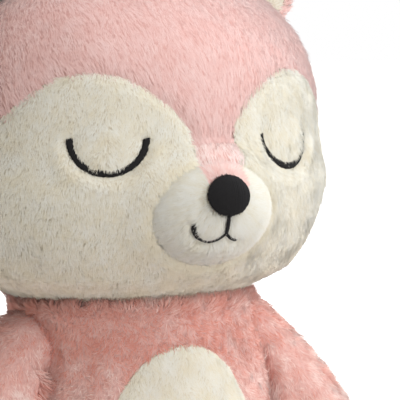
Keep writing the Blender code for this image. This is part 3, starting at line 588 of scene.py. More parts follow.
def muzzle_normal(points):
    away = points - MUZZLE_CENTRE
    share = np.clip(-away[..., 1] / MUZZLE_HALF[1], -1.0, 1.0)
    upright = away - np.stack([0.0 * share, 0.0 * share, MUZZLE_LIFT * share], axis=-1)
    slope = upright / MUZZLE_HALF ** 2
    slope[..., 1] += upright[..., 2] * MUZZLE_LIFT / (MUZZLE_HALF[2] ** 2 * MUZZLE_HALF[1])
    return unit(slope)


def in_muzzle(points, skin):
    """Below 1 where a point is inside the muzzle grown by a skin."""
    away = points - MUZZLE_CENTRE
    share = np.clip(-away[:, 1] / (MUZZLE_HALF[1] + skin), -1.0, 1.0)
    upright = away - np.outer(share, [0.0, 0.0, MUZZLE_LIFT])
    return np.linalg.norm(upright / (MUZZLE_HALF + skin), axis=1)


def brow_line():
    x = np.linspace(-11.0, 12.0, 60) * MM
    return HEAD.front(x, np.full(len(x), BROW_LINE))


SEAM = seam_line()
PINK_EDGE = np.vstack([SEAM, brow_line()])
EYES = {side: eye_line(side) for side in (-1, 1)}
EYE_POINTS = np.vstack(list(EYES.values()))
LUMPS = Waves(55 * MM, 1)
CHIN_RUN = HEAD.run_at(CHIN_SEAM_SHARE)
PINK_INSET = 2.4 * MM
CREAM_INSET = 1.7 * MM
SHELL = 0.8 * MM


def head_place(points):
    """Degrees from the nose and the run of points near the head's surface."""
    degrees = np.degrees(np.arctan2(points[:, 0] / HEAD_HALF[0],
                                    (HEAD_CENTRE_Y - points[:, 1]) / HEAD_HALF[1]))
    return degrees, HEAD.run_at(np.clip((points[:, 2] - HEAD_BASE) / HEAD_HEIGHT, 0.0, 1.0))


def in_face(points):
    degrees, run = head_place(points)
    return (np.abs(degrees) < SEAM_END_ANGLE) & (run < seam_run(degrees)) & (run > CHIN_RUN)


def muzzle_fillet(points):
    """The face rises to the muzzle, and most to its top."""
    high = ease(points[:, 2] - MUZZLE_CENTRE[2], 0.0, 22 * MM)
    return (3.0 * MM + 2.8 * MM * high) * ease(1.6 - in_muzzle(points, 0.0), 0.0, 0.6) ** 1.5


def head_shape(points):
    """How far the skin stands out of the head's form: in along seams and stitches, out between."""
    out = -1.2 * MM * bump(nearest(points, SEAM), 2.4 * MM) + muzzle_fillet(points)
    eye = nearest(points, EYE_POINTS)
    out -= 1.8 * MM * bump(eye, 2.6 * MM)
    for side in (-1, 1):
        lid = HEAD.at(side * EYE_ANGLE, HEAD.run_at(EYE_TOP / HEAD_HEIGHT))
        away = np.linalg.norm(points - lid, axis=1)
        out += 1.0 * MM * bump(away, 12 * MM)
        below = ease(lid[2] - points[:, 2], -2 * MM, 6 * MM)
        out += 0.45 * MM * bump(eye - 5 * MM, 3 * MM) * ease(away, 12 * MM, 19 * MM) * below
    return out + 0.15 * MM * LUMPS.value(points)


def face_grid():
    front = np.concatenate([np.arange(-SEAM_END_ANGLE, -WEDGE_ANGLE, 1.5),
                            np.arange(-WEDGE_ANGLE, WEDGE_ANGLE, 0.3),
                            np.arange(WEDGE_ANGLE, SEAM_END_ANGLE, 1.5), [SEAM_END_ANGLE]])
    share = np.linspace(0.0, 1.0, 60)[:, None]
    run = CHIN_RUN + (seam_run(front)[None, :] - CHIN_RUN) * share
    return grid(HEAD.at(front[None, :] + 0.0 * run, run), closed=False)


def down_the_head(points):
    """The nap lies down from the crown on every side."""
    away = points - NAP_CENTRE
    return np.stack([away[:, 0] * 0.35, away[:, 1] * 0.35, -0.10 + 0.0 * away[:, 2]], axis=1)


def forehead_flow(points):
    """The nap of the cover: down, and in front also towards the brow."""
    front = ease(-points[:, 1], -20 * MM, 40 * MM)
    front = front * ease(points[:, 2], HEAD_BASE + 0.05, HEAD_BASE + 0.09)
    brow = np.array([0.0, -HEAD_HALF[1], BROW_LINE - 6 * MM])
    return unit(down_the_head(points)) + unit(brow - points) * front[:, None]


def short_of_seam(root, flow, length, line, past):
    """Strands end where they cross a seam."""
    distance, way = way_to(root, line)
    across = np.clip((flow * way).sum(axis=1), 0.0, 1.0)
    room = (distance + past) / np.maximum(0.93 * across, 0.12)
    return np.minimum(length, np.maximum(room, 1.5 * MM)), distance


def dress_head():
    rng = np.random.default_rng(SEED)
    angle = np.arange(0.0, 360.0, 1.5)[None, :]
    run = np.linspace(0.0, 0.9995, 120)[:, None]
    skin = closed_form(HEAD.at(angle + 0.0 * run, run + 0.0 * angle))
    distance = nearest(skin.points, SEAM)
    signed = np.where(in_face(skin.points), -distance, distance)
    out = head_shape(skin.points) - PINK_INSET - 0.9 * MM * ease(-signed, 0.0, 2 * MM)
    out += 1.4 * MM * ease(HEAD_BASE + 6 * MM - skin.points[:, 2], 0.0, 5 * MM)
    flat = skin.points[:, 2] < HEAD_BASE + 0.1 * MM
    skin = skin.moved(out)
    above = np.maximum(skin.points[:, 2], HEAD_BASE)
    skin.points[:, 2] = np.where(flat, HEAD_BASE, above) + 0.2 * MM
    skin = Skin(skin.points, skin.faces)
    piece = skin_piece("head_skin", skin, "head", PINK_CLOTH,
                       ["head_cover", "chin_band"])
    root, normal = skin.scatter(rng, HEAD_STRANDS)
    keep = ~in_face(root) & (in_muzzle(root, -1 * MM) > 1.0) & (normal[:, 2] > -0.96)
    root, normal = root[keep], normal[keep]
    flow = flow_of(forehead_flow(root), normal, rng, 0.13, (26 * MM, 0.10), root)
    brow = ((root[:, 2] < BROW_LINE + 0.6 * MM) & (root[:, 1] < -0.06)
            & (np.abs(root[:, 0]) < BROW_REACH))
    onward = np.stack([root[:, 0] * 4.0, -0.8 + 0.0 * root[:, 1], -1.0 + 0.0 * root[:, 2]], axis=1)
    flow = np.where(brow[:, None], flow_of(onward, normal, rng, 0.1), flow)
    length = lengths(HEAD_NAP, root, rng, 0.10, 7 * MM)
    length, seam = short_of_seam(root, flow, length, PINK_EDGE, 1.0 * MM)
    length = np.where(brow, BROW_NAP, length)
    chin = root[:, 2] < HEAD_BASE + 3.4 * MM
    length = np.where(chin, np.minimum(length, CHIN_NAP), length)
    lean = rng.normal(1.18, 0.06, len(root)) - 0.6 * chin + 0.10 * brow
    # Deeper next to the seams, partly the deep roots that show there and partly painted shade in
    # the seams' groove; lighter on the chin band as painted light under the head.
    tint = tints(root, rng) - 0.40 * bump(seam, 3.0 * MM) * ~brow + 0.15 * chin + 0.15 * brow
    lit = unit(normal + 2.5 * chin[:, None] * sideways(root))
    for part, name, fur, clump in ((~brow, "head_pile", PINK_PILE, 0.5 * MM),
                                   (brow, "brow_pile", BRIDGE_PILE, 0.15 * MM)):
        pile(name, piece, fur, root[part], normal[part], flow[part], length[part],
             lean[part], widths(rng, part.sum(), 0.24, 0.42), tint[part], (4.5 * MM, clump), rng,
             lit=lit[part])
    dress_face(rng)


def dress_face(rng):
    skin = face_grid()
    skin = skin.moved(head_shape(skin.points) - CREAM_INSET)
    piece = cloth_shell("face_skin", skin, "head", CREAM_CLOTH, ["face_cover"],
                        SHELL)
    root, normal = skin.scatter(rng, FACE_STRANDS)
    eye, way = way_to(root, EYE_POINTS)
    hidden = (head_place(root)[0] > EYE_ANGLE + 4.0) & (root[:, 2] > 0.2195)
    keep = ((eye > 1.75 * MM) | hidden & (eye > 0.5 * MM)) & (in_muzzle(root, -3 * MM) > 1.0)
    root, normal, eye, way, hidden = (v[keep] for v in (root, normal, eye, way, hidden))
    field = unit(down_the_head(root)) - 2.0 * way * (bump(eye, 3 * MM) * ~hidden)[:, None]
    flow = flow_of(field, normal, rng, 0.28, (18 * MM, 0.25), root)
    length = lengths(FACE_NAP, root, rng, 0.08)
    veil = hidden * bump(eye, 3 * MM)
    length *= np.where(hidden, 1.0, 0.65 + 0.35 * ease(eye, 1.5 * MM, 5 * MM)) + 0.4 * veil
    length, _ = short_of_seam(root, flow, length, SEAM, 0.0)
    rim = np.maximum(in_muzzle(root, 0.0) - 1.0, 0.0)
    # Painted shade: the strands are deeper and yellower round the muzzle's edge and low on the
    # face; a little deeper next to the eye stitches.
    tint = (tints(root, rng, 5 * MM) + 0.05 - 0.10 * bump(eye, 2.5 * MM) - 0.45 * bump(rim, 0.14)
            - 0.30 * ease(-root[:, 2], -0.20, -0.16))
    under = ease(HEAD_BASE + 16 * MM - root[:, 2], 0.0, 14 * MM)
    pile("face_pile", piece, CREAM_PILE, root, normal, flow, length,
         rng.normal(1.05, 0.08, len(root)) - 0.5 * veil, widths(rng, len(root)), tint,
         (4.5 * MM, 0.2 * MM), rng, lit=unit(normal + under[:, None] * sideways(root)))


def belly_oval(points):
    return np.hypot(points[:, 0] / BELLY_HALF[0], (points[:, 2] - BELLY_HEIGHT) / BELLY_HALF[1])


def near_arm(points):
    """Distance from the nearer arm's surface."""
    start = np.array(SHOULDER)
    ahead = unit(np.array(ARM_AHEAD))
    place = np.abs(points * [1.0, 0.0, 0.0]) + points * [0.0, 1.0, 1.0] - start
    along = np.clip(place @ ahead, 0.0, 0.1)
    return np.linalg.norm(place - along[:, None] * ahead, axis=1) - 0.95 * ARM_RADIUS


def dress_body():
    rng = np.random.default_rng(SEED + 2)
    angle = np.arange(0.0, 360.0, 2.0)[None, :]
    run = np.linspace(0.0, 1.0, 80)[:, None]
    skin = closed_form(BODY.at(angle + 0.0 * run, run + 0.0 * angle), lid=True)
    turn = np.linspace(0.0, 2.0 * math.pi, 300)
    line = BODY.front(BELLY_HALF[0] * np.sin(turn), BELLY_HEIGHT + BELLY_HALF[1] * np.cos(turn))
    near = nearest(skin.points, line)
    patch = (belly_oval(skin.points) < 1.0) & (skin.points[:, 1] < 0.0)
    out = -2.2 * MM - 1.0 * MM * bump(near, 2.5 * MM) + 0.6 * MM * LUMPS.value(skin.points)
    out += 2.6 * MM * bump(np.maximum(near_arm(skin.points), 0.0), 8 * MM) * ~patch
    level = skin.points[:, 2]
    out += 2.4 * MM * ease(level, BODY_HEIGHT - 26 * MM, BODY_HEIGHT - 1 * MM)
    skin = skin.moved(out - 1.0 * MM * patch * ease(near, 0.0, 2 * MM))
    skin.points[:, 2] = np.clip(skin.points[:, 2], 0.6 * MM, BODY_HEIGHT - 0.2 * MM)
    skin.points[level > BODY_HEIGHT - 0.1 * MM, 2] = BODY_HEIGHT - 0.2 * MM
    skin = Skin(skin.points, skin.faces)
    piece = skin_piece("body_skin", skin, "body", PINK_CLOTH, ["body_cover"])
    root, normal = skin.scatter(rng, BODY_STRANDS)
    more, more_normal = skin.scatter(rng, NECK_STRANDS)
    ring = more[:, 2] > BODY_HEIGHT - 5 * MM
    root, normal = np.vstack([root, more[ring]]), np.vstack([normal, more_normal[ring]])
    front = root[:, 1] < 0.0
    keep = ~((belly_oval(root) < 1.0) & front) & (np.abs(normal[:, 2]) < 0.9)
    root, normal = root[keep], normal[keep]
    neck = BODY_HEIGHT - root[:, 2]
    upward = 1.0 * (rng.random(len(root)) < ease(-neck, -10 * MM, -1 * MM))
    field = np.stack([root[:, 0] * 6.0, root[:, 1] * 6.0, -1.0 + 2.6 * upward], axis=1)
    flow = flow_of(field, normal, rng, 0.45, (9 * MM, 0.75), root)
    length = lengths(BODY_NAP, root, rng, 0.12)
    length, near = short_of_seam(root, flow, length, line, 1.4 * MM)
    arm = near_arm(root)
    length *= 0.8 + 0.2 * ease(arm, -1 * MM, 5 * MM)
    length += NECK_NAP * upward * bump(neck, 4 * MM)
    length *= 0.3 + 0.7 * ease(root[:, 2], 1 * MM, 9 * MM)
    # Painted shade: the strands are deeper under the head and in the crease next to the arms;
    # deeper along the belly seam as well.
    tint = (tints(root, rng) - 0.2 * bump(near, 2.5 * MM) - 0.5 * bump(neck - 14 * MM, 18 * MM)
            - 0.15 * bump(np.maximum(arm, 0.0), 4 * MM))
    pile("body_pile", piece, BODY_PILE, root, normal, flow, length,
         rng.normal(1.02, 0.10, len(root)) - 0.25 * upward, widths(rng, len(root), 0.27, 0.43),
         tint, (3.6 * MM, 0.8 * MM), rng)
    dress_belly(line, rng)


def dress_belly(line, rng):
    ring = np.linspace(0.02, 1.0, 26)[:, None]
    turn = np.linspace(0.0, 2.0 * math.pi, 121)[:-1][None, :]
    skin = grid(BODY.front(BELLY_HALF[0] * ring * np.sin(turn),
                           BELLY_HEIGHT + BELLY_HALF[1] * ring * np.cos(turn)))
    skin = facing(skin, -1.0)
    near = nearest(skin.points, line)
    skin = skin.moved(-1.8 * MM - 0.9 * MM * bump(near, 2.5 * MM)
                      + 0.6 * MM * LUMPS.value(skin.points))
    piece = cloth_shell("belly_skin", skin, "body", CREAM_CLOTH, ["belly_patch"],
                        SHELL)
    root, normal = skin.scatter(rng, BELLY_STRANDS)
    down = np.tile([0.0, 0.0, -1.0], (len(root), 1))
    flow = flow_of(down, normal, rng, 0.3, (14 * MM, 0.3), root)
    length = lengths(BELLY_NAP, root, rng)
    length, _ = short_of_seam(root, flow, length, line, 0.3 * MM)
    pile("belly_pile", piece, CREAM_PILE, root, normal, flow, length,
         rng.normal(1.05, 0.08, len(root)), widths(rng, len(root)), tints(root, rng, 5 * MM),
         (4.5 * MM, 0.25 * MM), rng)


def facing(skin, way):
    """The skin with its faces towards -Y or +Y."""
    if skin.normals[:, 1].mean() * way > 0.0:
        return skin
    return Skin(skin.points, [f[:, ::-1] for f in skin.faces])


def towards_body(name, points, normals):
    """1 on the side of an arm that faces the body across the fold of the armpit."""
    if not name.startswith("arm"):
        return np.zeros(len(points))
    gap = -BODY.depth_inside(points)
    to_axis = unit(points * [-1.0, -1.0, 0.0])
    return ease((normals * to_axis).sum(axis=1), -0.1, 0.6) * bump(gap - 3 * MM, 11 * MM)


def dress_soft(name, body, slot, cloth, fur, count, seed, inset, nap, field, voxel=2.6 * MM,
               rounds=12, width=0.36, mask=None, swirl=0.5, lean=1.02, clump=0.7 * MM):
    """A stuffed limb, ear or tail: a smooth skin inside the CAD solid, and its pile."""
    rng = np.random.default_rng(SEED + seed)
    skin = soft_copy(name, voxel, rounds)
    skin = skin.moved(-inset + 6.0 * MM * towards_body(name, skin.points, skin.normals))
    skin.points[:, 2] = np.maximum(skin.points[:, 2], 0.6 * MM)
    piece = skin_piece(f"{name}_skin", skin, body, cloth, [name])
    root, normal = skin.scatter(rng, count)
    if mask is not None:
        keep = mask(root)
        root, normal = root[keep], normal[keep]
    flow = flow_of(field(root), normal, rng, 0.3, (9 * MM, swirl), root)
    length = lengths(nap, root, rng, 0.1)
    tint = tints(root, rng)
    fill = towards_body(name, root, normal)
    length += 3.5 * MM * fill
    # Painted shade in the fold of the armpit.
    tint -= 0.15 * fill
    # Painted shade on the tops of the arms, under the head.
    if name.startswith("arm"):
        tint -= 0.35 * bump(BODY_HEIGHT - root[:, 2], 22 * MM)
    if name.startswith(("arm", "leg", "tail")):
        out = -BODY.depth_inside(root)
        length *= 0.7 + 0.3 * ease(out, -1 * MM, 5 * MM)
        just_inside = (out < -1.5 * MM) & (out > -7 * MM)
        length = np.where(just_inside, np.minimum(length, INSIDE_NAP), length)
        # Painted shade where a limb meets the body.
        tint -= 0.3 * bump(np.maximum(out, 0.0), 4 * MM)
    length *= 0.3 + 0.7 * ease(root[:, 2], 2 * MM, 8 * MM)
    pile(f"{name}_pile", piece, fur, root, normal, flow, length,
         rng.normal(lean, 0.09, len(root)) - 0.35 * fill,
         rng.uniform(0.7, 1.15, len(root)) * width * MM, tint, (3.8 * MM, clump), rng,
         lit=unit(normal + 1.6 * fill[:, None] * sideways(root)))


def dress_limbs():
    def outside_head(root):
        return HEAD.depth_inside(root) < 0.5 * MM

    def along_leg(root):
        return np.tile([0.0, -1.0, -0.3], (len(root), 1))

    def down_sole(root):
        return np.tile([0.0, -0.3, -1.0], (len(root), 1))

    def along_tail(root):
        return np.tile([0.0, 0.8, 0.45], (len(root), 1)) + 4.0 * (root - np.array(TAIL_ROOT))

    pink, cream = ("pink_plush", PINK_CLOTH), ("cream_plush", CREAM_CLOTH)
    for side, word in ((1, "left"), (-1, "right")):
        shoulder = np.array(SHOULDER) * [side, 1.0, 1.0]
        ear_base = np.array(EAR_BASE) * [side, 1.0, 1.0]

        def along_arm(root, s=side, at=shoulder):
            return unit(root - at + [0.0, 0.0, -0.02]) + np.array([s * 0.2, 0.0, -0.6])

        def along_ear(root, at=ear_base):
            return root - at + np.array([0.0, 0.0, 0.02])

        arm, leg, ear = f"arm_{word}_body", f"leg_{word}_body", f"ear_{word}_body"
        dress_soft(f"arm_{word}", arm, *pink, BODY_PILE, 32000, 20 + side, 2.0 * MM, ARM_NAP,
                   along_arm)
        dress_soft(f"leg_{word}", leg, *pink, BODY_PILE, 32000, 30 + side, 2.0 * MM, LEG_NAP,
                   along_leg)
        dress_soft(f"sole_{word}", leg, *cream, CREAM_PILE, 7000, 40 + side, 0.5 * MM, SOLE_NAP,
                   down_sole, voxel=1.0 * MM, rounds=3, width=0.30, swirl=0.2, clump=0.2 * MM)
        dress_soft(f"ear_{word}", ear, *pink, PINK_PILE, 14000, 50 + side, 1.1 * MM, EAR_NAP,
                   along_ear, voxel=1.3 * MM, rounds=4, width=0.34, mask=outside_head, lean=1.15,
                   swirl=0.2, clump=0.4 * MM)
        dress_soft(f"ear_lining_{word}", ear, *cream, CREAM_PILE, 7000, 60 + side, 0.4 * MM,
                   LINING_NAP, along_ear, voxel=0.9 * MM, rounds=3, width=0.30, mask=outside_head,
                   lean=1.05, swirl=0.2, clump=0.2 * MM)
    dress_soft("tail", "tail_body", *pink, BODY_PILE, 30000, 70, 2.6 * MM, TAIL_NAP, along_tail,
               width=0.40, lean=1.08)
    dress_soft("tail_tip", "tail_body", *cream, CREAM_PILE, 16000, 71, 2.6 * MM, TAIL_NAP,
               along_tail, lean=1.08)


SMILE = smooth_curve(SMILE_PATH)


def mouth_line(part, count=60):
    """The mouth's stitching: centre line, way along, normal, half-width."""
    share = np.linspace(0.0, 1.0, count)
    if part == "stem":
        x = 0.2 * MM + 0.0 * share
        z = (NOSE_RISE - NOSE_HALF[1] + 0.6 * MM) * (1.0 - share) + (MOUTH_FORK + 0.1 * MM) * share
        half = 0.85 * MM + 0.25 * MM * np.sin(math.pi * share)
    else:
        side = 1.0 if part == "left" else -1.0
        x = side * (0.3 * MM + SMILE_HALF_WIDTH * share)
        z = MOUTH_FORK - 0.2 * MM + np.interp(share, SMILE[:, 0], SMILE[:, 1])
        half = 0.80 * MM - 0.15 * MM * np.sin(math.pi * share)
        half = half + 0.55 * MM * ease(share, 0.75, 0.95)
    sunk = 0.6 * MM + 2.4 * MM * ease(share, 0.35, 0.62) * (part == "left")
    line = muzzle_front(x, z) - muzzle_normal(muzzle_front(x, z)) * sunk[:, None]
    return line, unit(np.gradient(line, axis=0)), muzzle_normal(line), half


def dress_muzzle():
    rng = np.random.default_rng(SEED + 80)
    turn = np.linspace(0.03, 0.66 * math.pi, 70)[:, None]
    around = np.linspace(0.0, 2.0 * math.pi, 145)[:-1][None, :]
    height = MUZZLE_HALF[2] * np.sin(turn) * np.sin(around) + MUZZLE_LIFT * np.cos(turn)
    place = np.stack([MUZZLE_HALF[0] * np.sin(turn) * np.cos(around),
                      -MUZZLE_HALF[1] * np.cos(turn) + 0.0 * around, height], axis=-1)
    skin = grid(MUZZLE_CENTRE + place)
    count = place.shape[1]
    ids = np.arange(count)[None, :]
    faces = [skin.faces[0], ids[:, ::-1], ids + (place.shape[0] - 1) * count]
    skin = Skin(skin.points, faces)
    if dot(skin.normals, skin.points - MUZZLE_CENTRE).mean() < 0.0:
        skin = Skin(skin.points, [f[:, ::-1] for f in faces])
    mouth = np.vstack([mouth_line(part)[0] for part in ("stem", "left", "right")])
    out = -1.9 * MM - 1.4 * MM * bump(nearest(skin.points, mouth), 2.4 * MM)
    skin = skin.moved(out)
    piece = skin_piece("muzzle_skin", skin, "head", CREAM_CLOTH, ["muzzle"])
    root, normal = skin.scatter(rng, MUZZLE_STRANDS)
    local = root - MUZZLE_CENTRE
    nose = np.hypot(local[:, 0] / NOSE_HALF[0], (local[:, 2] - NOSE_RISE) / NOSE_HALF[1])
    line = nearest(root, mouth)
    covered = (local[:, 0] > 7.5 * MM) & (local[:, 2] < 0.0)
    bridge = (np.abs(local[:, 0] - BRIDGE_X) < BRIDGE_HALF) & (local[:, 2] > NOSE_RISE)
    keep = (nose > 0.84) & ((line > 0.9 * MM) | covered) & (HEAD.depth_inside(root) < 4 * MM)
    root, normal, local, line, bridge, nose, covered = (
        v[keep] for v in (root, normal, local, line, bridge, nose, covered))
    field = local - np.array([0.0, 0.0, NOSE_RISE])
    field[:, 1] *= 0.3
    flow = flow_of(field, normal, rng, 0.14, (14 * MM, 0.10), root)
    length = lengths(MUZZLE_NAP, root, rng)
    length *= np.where(covered, 1.0, 0.6 + 0.4 * ease(line, 0.6 * MM, 4 * MM))
    length *= 0.8 + 0.2 * ease(nose, 0.9, 1.8)
    lean = rng.normal(1.12, 0.07, len(root)) - 0.45 * bump(nose - 0.9, 0.2)
    width = widths(rng, len(root))
    turn = np.arctan2(local[:, 2] - NOSE_RISE, local[:, 0])
    streaks = sum(np.sin(turn * k + k * k) for k in (13, 22, 31, 47))
    tint = (tints(root, rng) + 0.05 + 0.08 * streaks - 0.5 * bridge * bump(nose - 1.0, 0.22)
            - 0.25 * bump(line, 1.6 * MM))
    band_edge = np.abs(np.abs(local[:, 0] - BRIDGE_X) - BRIDGE_HALF) * bridge + ~bridge
    tint -= 0.35 * bump(band_edge, 1.2 * MM)

    across = np.linspace(-1.0, 1.0, 18)[None, :]
    up = np.linspace(0.0, 1.05, 14)[:, None]
    band = muzzle_front(BRIDGE_X + across * BRIDGE_SKIN_HALF + 0.0 * up,
                        NOSE_RISE + up * (MUZZLE_HALF[2] - NOSE_RISE - 1.5 * MM), -1.7 * MM)
    band_piece = cloth_shell("bridge_skin", facing(grid(band, closed=False), -1.0), "head",
                             PINK_CLOTH, ["muzzle_bridge"], 0.5 * MM)
    for part, name, on, slot, fur in (
            (~bridge, "muzzle_pile", piece, "cream_plush", WHITE_PILE),
            (bridge, "bridge_pile", band_piece, "pink_plush", BRIDGE_PILE)):
        pile(name, on, fur, root[part], normal[part], flow[part], length[part], lean[part],
             width[part], tint[part], (3.5 * MM, 0.35 * MM), rng)


def thread_ring(middle, lay, normal, girth):
    """Six places round a thread at each point of its middle."""
    return np.stack([middle + (lay * math.cos(turn) + normal * math.sin(turn)) * girth
                     for turn in np.arange(6) * math.pi / 3], axis=1)


def threads_mesh(name, points, stands_for):
    """Closed threads from an array: thread, station, side, place."""
    count, stations, sides = points.shape[:3]
    ids = np.arange(count * stations * sides).reshape(count, stations, sides)
    ring = np.concatenate([ids, ids[:, :, :1]], axis=2)
    quads = np.stack([ring[:, :-1, :-1], ring[:, :-1, 1:], ring[:, 1:, 1:], ring[:, 1:, :-1]],
                     axis=-1).reshape(-1, 4)
    ends = np.concatenate([ids[:, 0, ::-1], ids[:, -1]])
    first = points[0, 1]
    flip = np.linalg.det(np.stack([first[0] - first[3], first[1] - first[4],
                                   points[0, 2, 0] - first[0]])) < 0.0
    faces = [quads[:, ::-1], ends[:, ::-1]] if flip else [quads, ends]
    mesh = new_mesh(name, points.reshape(-1, 3), faces)
    new_piece(name, mesh, "head", THREAD, stands_for)


def satin(name, line, along, normal, half, stands_for, pitch, radius, arch, slant, rng):
    """Satin stitch: threads laid side by side across a line."""
    steps = np.linalg.norm(np.diff(line, axis=0), axis=1)
    reach = np.concatenate([[0.0], np.cumsum(steps)])
    count = max(3, int(reach[-1] / pitch))
    where = (np.arange(count) + 0.5) / count * reach[-1]

    def at(values):
        return np.stack([np.interp(where, reach, values[:, i]) for i in range(3)], axis=1)

    centre, t, n = at(line), unit(at(along)), unit(at(normal))
    wide = np.interp(where, reach, half)
    n = unit(n - dot(n, t) * t)
    across = unit(np.cross(t, n) + t * slant)
    lay = unit(np.cross(n, across))
    ends = wide[:, None] * rng.uniform(0.88, 1.14, (count, 2))
    stations = np.array([-1.0, -0.93, -0.7, -0.3, 0.3, 0.7, 0.93, 1.0])
    girth = np.array([0.35, 0.8, 1.0, 1.0, 1.0, 1.0, 0.8, 0.35])
    points = np.empty((count, len(stations), 6, 3))
    for i, (s, g) in enumerate(zip(stations, girth)):
        out = (ends[:, 1] if s > 0 else ends[:, 0]) * s
        middle = centre + across * out[:, None] + n * arch * (1.0 - s * s)
        points[:, i] = thread_ring(middle, lay, n, radius * g)
    threads_mesh(name, points, stands_for)


def dress_stitches():
    rng = np.random.default_rng(SEED + 90)
    for side, word in ((1, "left"), (-1, "right")):
        line = EYES[side]
        normal = unit((line - NAP_CENTRE) / np.array([*HEAD_HALF, 0.3]) ** 2)
        inner = ease(np.linspace(1.0, -1.0, len(line)), 0.15, 1.0) * (side > 0)
        half = (1.65 - 0.6 * inner) * MM
        sunk = line - normal * ((1.3 + 0.5 * inner) * MM)[:, None]
        satin(f"eye_stitches_{word}", sunk, unit(np.gradient(line, axis=0)), normal, half,
              [f"eye_stitching_{word}"], 0.40 * MM, 0.26 * MM, 0.5 * MM, 0.25, rng)
    for part, node in (("stem", "mouth_stem_stitching"), ("left", "smile_stitching_left"),
                       ("right", "smile_stitching_right")):
        line, along, normal, half = mouth_line(part)
        satin(f"mouth_stitches_{part}", line, along, normal, half, [node], 0.42 * MM, 0.24 * MM,
              0.3 * MM, 0.45, rng)
    dress_nose(rng)


def dress_nose(rng):
    """Upright threads laid side by side over a low dome."""
    def on_dome(x, z, lift):
        flat = muzzle_front(x * NOSE_HALF[0], NOSE_RISE + z * NOSE_HALF[1])
        rise = np.sqrt(np.maximum(0.0, 1.0 - 0.97 * np.minimum(x ** 2 + z ** 2, 1.0)))
        return flat + muzzle_normal(flat) * (NOSE_DOME * rise + lift)[..., None]

    threads, stations = 48, 16
    points = np.empty((threads, stations, 6, 3))
    for i, share in enumerate(np.linspace(-0.985, 0.985, threads)):
        tall = math.sqrt(1.0 - share * share) * rng.uniform(0.97, 1.04) + 0.02
        z = np.linspace(-rng.uniform(0.96, 1.05), rng.uniform(0.97, 1.03), stations) * tall
        line = on_dome(np.full(stations, share), z, 0.25 * MM + rng.uniform(-0.05, 0.05) * MM)
        along = unit(np.gradient(line, axis=0))
        normal = muzzle_normal(line)
        lay = unit(np.cross(normal, along))
        girth = np.full(stations, 0.26 * MM)
        girth[[0, -1]] *= 0.5
        points[i] = thread_ring(line, lay, normal, girth[:, None])
    threads_mesh("nose_stitches", points, ["nose"])
    ring = np.linspace(0.02, 0.985, 14)[:, None]
    turn = np.linspace(0.0, 2.0 * math.pi, 61)[:-1][None, :]
    pad = on_dome(ring * np.cos(turn), ring * np.sin(turn), -0.02 * MM + 0.0 * ring * turn)
    cloth_shell("nose_pad", facing(grid(pad), -1.0), "head", THREAD, (), 0.8 * MM)


def dress_inside():
    """The fibre and the pellet bag, which the covers hide."""
    fibre = cloth_material("fibre", (0.78, 0.78, 0.76), (0.92, 0.92, 0.90), 260.0)
    canvas = cloth_material("canvas", (0.52, 0.48, 0.41), (0.68, 0.64, 0.56), 1400.0)
    for name, node, body, slot, material, lump in (
            ("body_fibre", "body_filling", "body", "fibre", fibre, 1.0 * MM),
            ("head_fibre", "head_filling", "head", "fibre", fibre, 1.0 * MM),
            ("pellet_bag", "seat_pellet_bag", "body", "canvas", canvas, 0.4 * MM)):
        skin = soft_copy(node, 3.0 * MM, 6)
        skin = skin.moved(-1.5 * MM + lump * Waves(9 * MM, 5).value(skin.points))
        piece = skin_piece(name, skin, body, material, [node])


def seen_directly(tree):
    """1 for rays from the camera, off gloss and through glass."""
    path = tree.nodes.new("ShaderNodeLightPath")
    value = path.outputs["Is Camera Ray"]
    for ray in ("Is Glossy Ray", "Is Transmission Ray"):
        most = tree.nodes.new("ShaderNodeMath")
        most.operation = "MAXIMUM"
        tree.links.new(value, most.inputs[0])
        tree.links.new(path.outputs[ray], most.inputs[1])
        value = most.outputs["Value"]
    return value


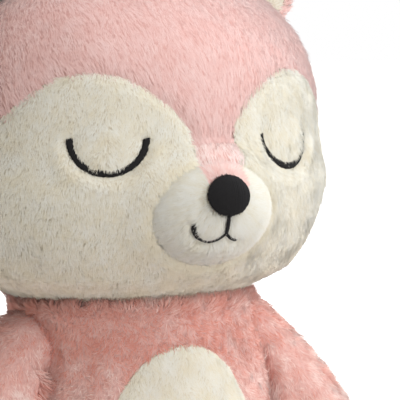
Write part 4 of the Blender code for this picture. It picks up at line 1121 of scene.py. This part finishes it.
def stage():
    corners = np.array([[-1, -1, 0], [1, -1, 0], [1, 1, 0], [-1, 1, 0]]) * FLOOR_HALF
    mesh = new_mesh("floor", corners, [np.array([[0, 1, 2, 3]])], False)
    floor = bpy.data.objects.new("floor", mesh)
    bpy.context.scene.collection.objects.link(floor)
    material, node = shader("floor", FLOOR_COLOUR, 0.9, 0.0, 0.1)
    tree = material.node_tree
    glow = tree.nodes.new("ShaderNodeEmission")
    place = tree.nodes.new("ShaderNodeTexCoord")
    far = tree.nodes.new("ShaderNodeVectorMath")
    far.operation = "LENGTH"
    fade = tree.nodes.new("ShaderNodeMapRange")
    fade.inputs["From Min"].default_value, fade.inputs["From Max"].default_value = GLOW_REACH
    fade.inputs["To Min"].default_value, fade.inputs["To Max"].default_value = GLOW_STRENGTH
    both = tree.nodes.new("ShaderNodeAddShader")
    pick = tree.nodes.new("ShaderNodeMixShader")
    wire(tree, (place, "Object", far, 0), (far, "Value", fade, "Value"),
         (fade, "Result", glow, "Strength"), (node, "BSDF", both, 0), (glow, "Emission", both, 1))
    tree.links.new(seen_directly(tree), pick.inputs["Fac"])
    wire(tree, (node, "BSDF", pick, 1), (both, "Shader", pick, 2),
         (pick, "Shader", tree.nodes["Material Output"], "Surface"))
    mesh.materials.append(material)

    world = bpy.data.worlds.new("studio")
    bpy.context.scene.world = world
    world.use_nodes = True
    tree = world.node_tree
    room = tree.nodes["Background"]
    room.inputs["Color"].default_value = (*ROOM_COLOUR, 1.0)
    room.inputs["Strength"].default_value = ROOM_STRENGTH
    white = tree.nodes.new("ShaderNodeBackground")
    white.inputs["Color"].default_value = (1.0, 1.0, 1.0, 1.0)
    pick = tree.nodes.new("ShaderNodeMixShader")
    tree.links.new(seen_directly(tree), pick.inputs["Fac"])
    wire(tree, (room, "Background", pick, 1), (white, "Background", pick, 2),
         (pick, "Shader", tree.nodes["World Output"], "Surface"))


def lamp(name, place, target, power, size):
    data = bpy.data.lights.new(name, "AREA")
    data.energy = power
    data.color = LAMP_COLOUR
    data.shape = "DISK"
    data.size = size
    made = bpy.data.objects.new(name, data)
    made.location = place
    made.rotation_euler = (Vector(target) - Vector(place)).to_track_quat("-Z", "Y").to_euler()
    bpy.context.scene.collection.objects.link(made)


def photograph():
    """The camera of the photograph, and soft light from the upper right."""
    turn, rise = math.radians(CAMERA_TURN), math.radians(CAMERA_RISE)
    back = Vector((math.sin(turn) * math.cos(rise), -math.cos(turn) * math.cos(rise),
                   math.sin(rise)))
    right = Vector((math.cos(turn), math.sin(turn), 0.0))
    up = back.cross(right)
    target = Vector(CAMERA_TARGET)
    camera = bpy.data.objects.new("camera", bpy.data.cameras.new("camera"))
    bpy.context.scene.collection.objects.link(camera)
    camera.data.sensor_width = CAMERA_SENSOR
    camera.data.lens = CAMERA_LENS
    camera.location = target + back * CAMERA_DISTANCE
    aim = target + right * CAMERA_AIM[0] - up * CAMERA_AIM[1]
    camera.rotation_mode = "QUATERNION"
    camera.rotation_quaternion = (aim - camera.location).to_track_quat("-Z", "Y")
    bpy.context.scene.camera = camera
    for name, (place, power, size) in LAMPS.items():
        lamp(name, target + back * place[0] + right * place[1] + up * place[2], target, power, size)
    bpy.context.scene.view_settings.view_transform = "Standard"


photograph()
stage()
dress_head()
dress_muzzle()
dress_stitches()
dress_body()
dress_limbs()
dress_inside()
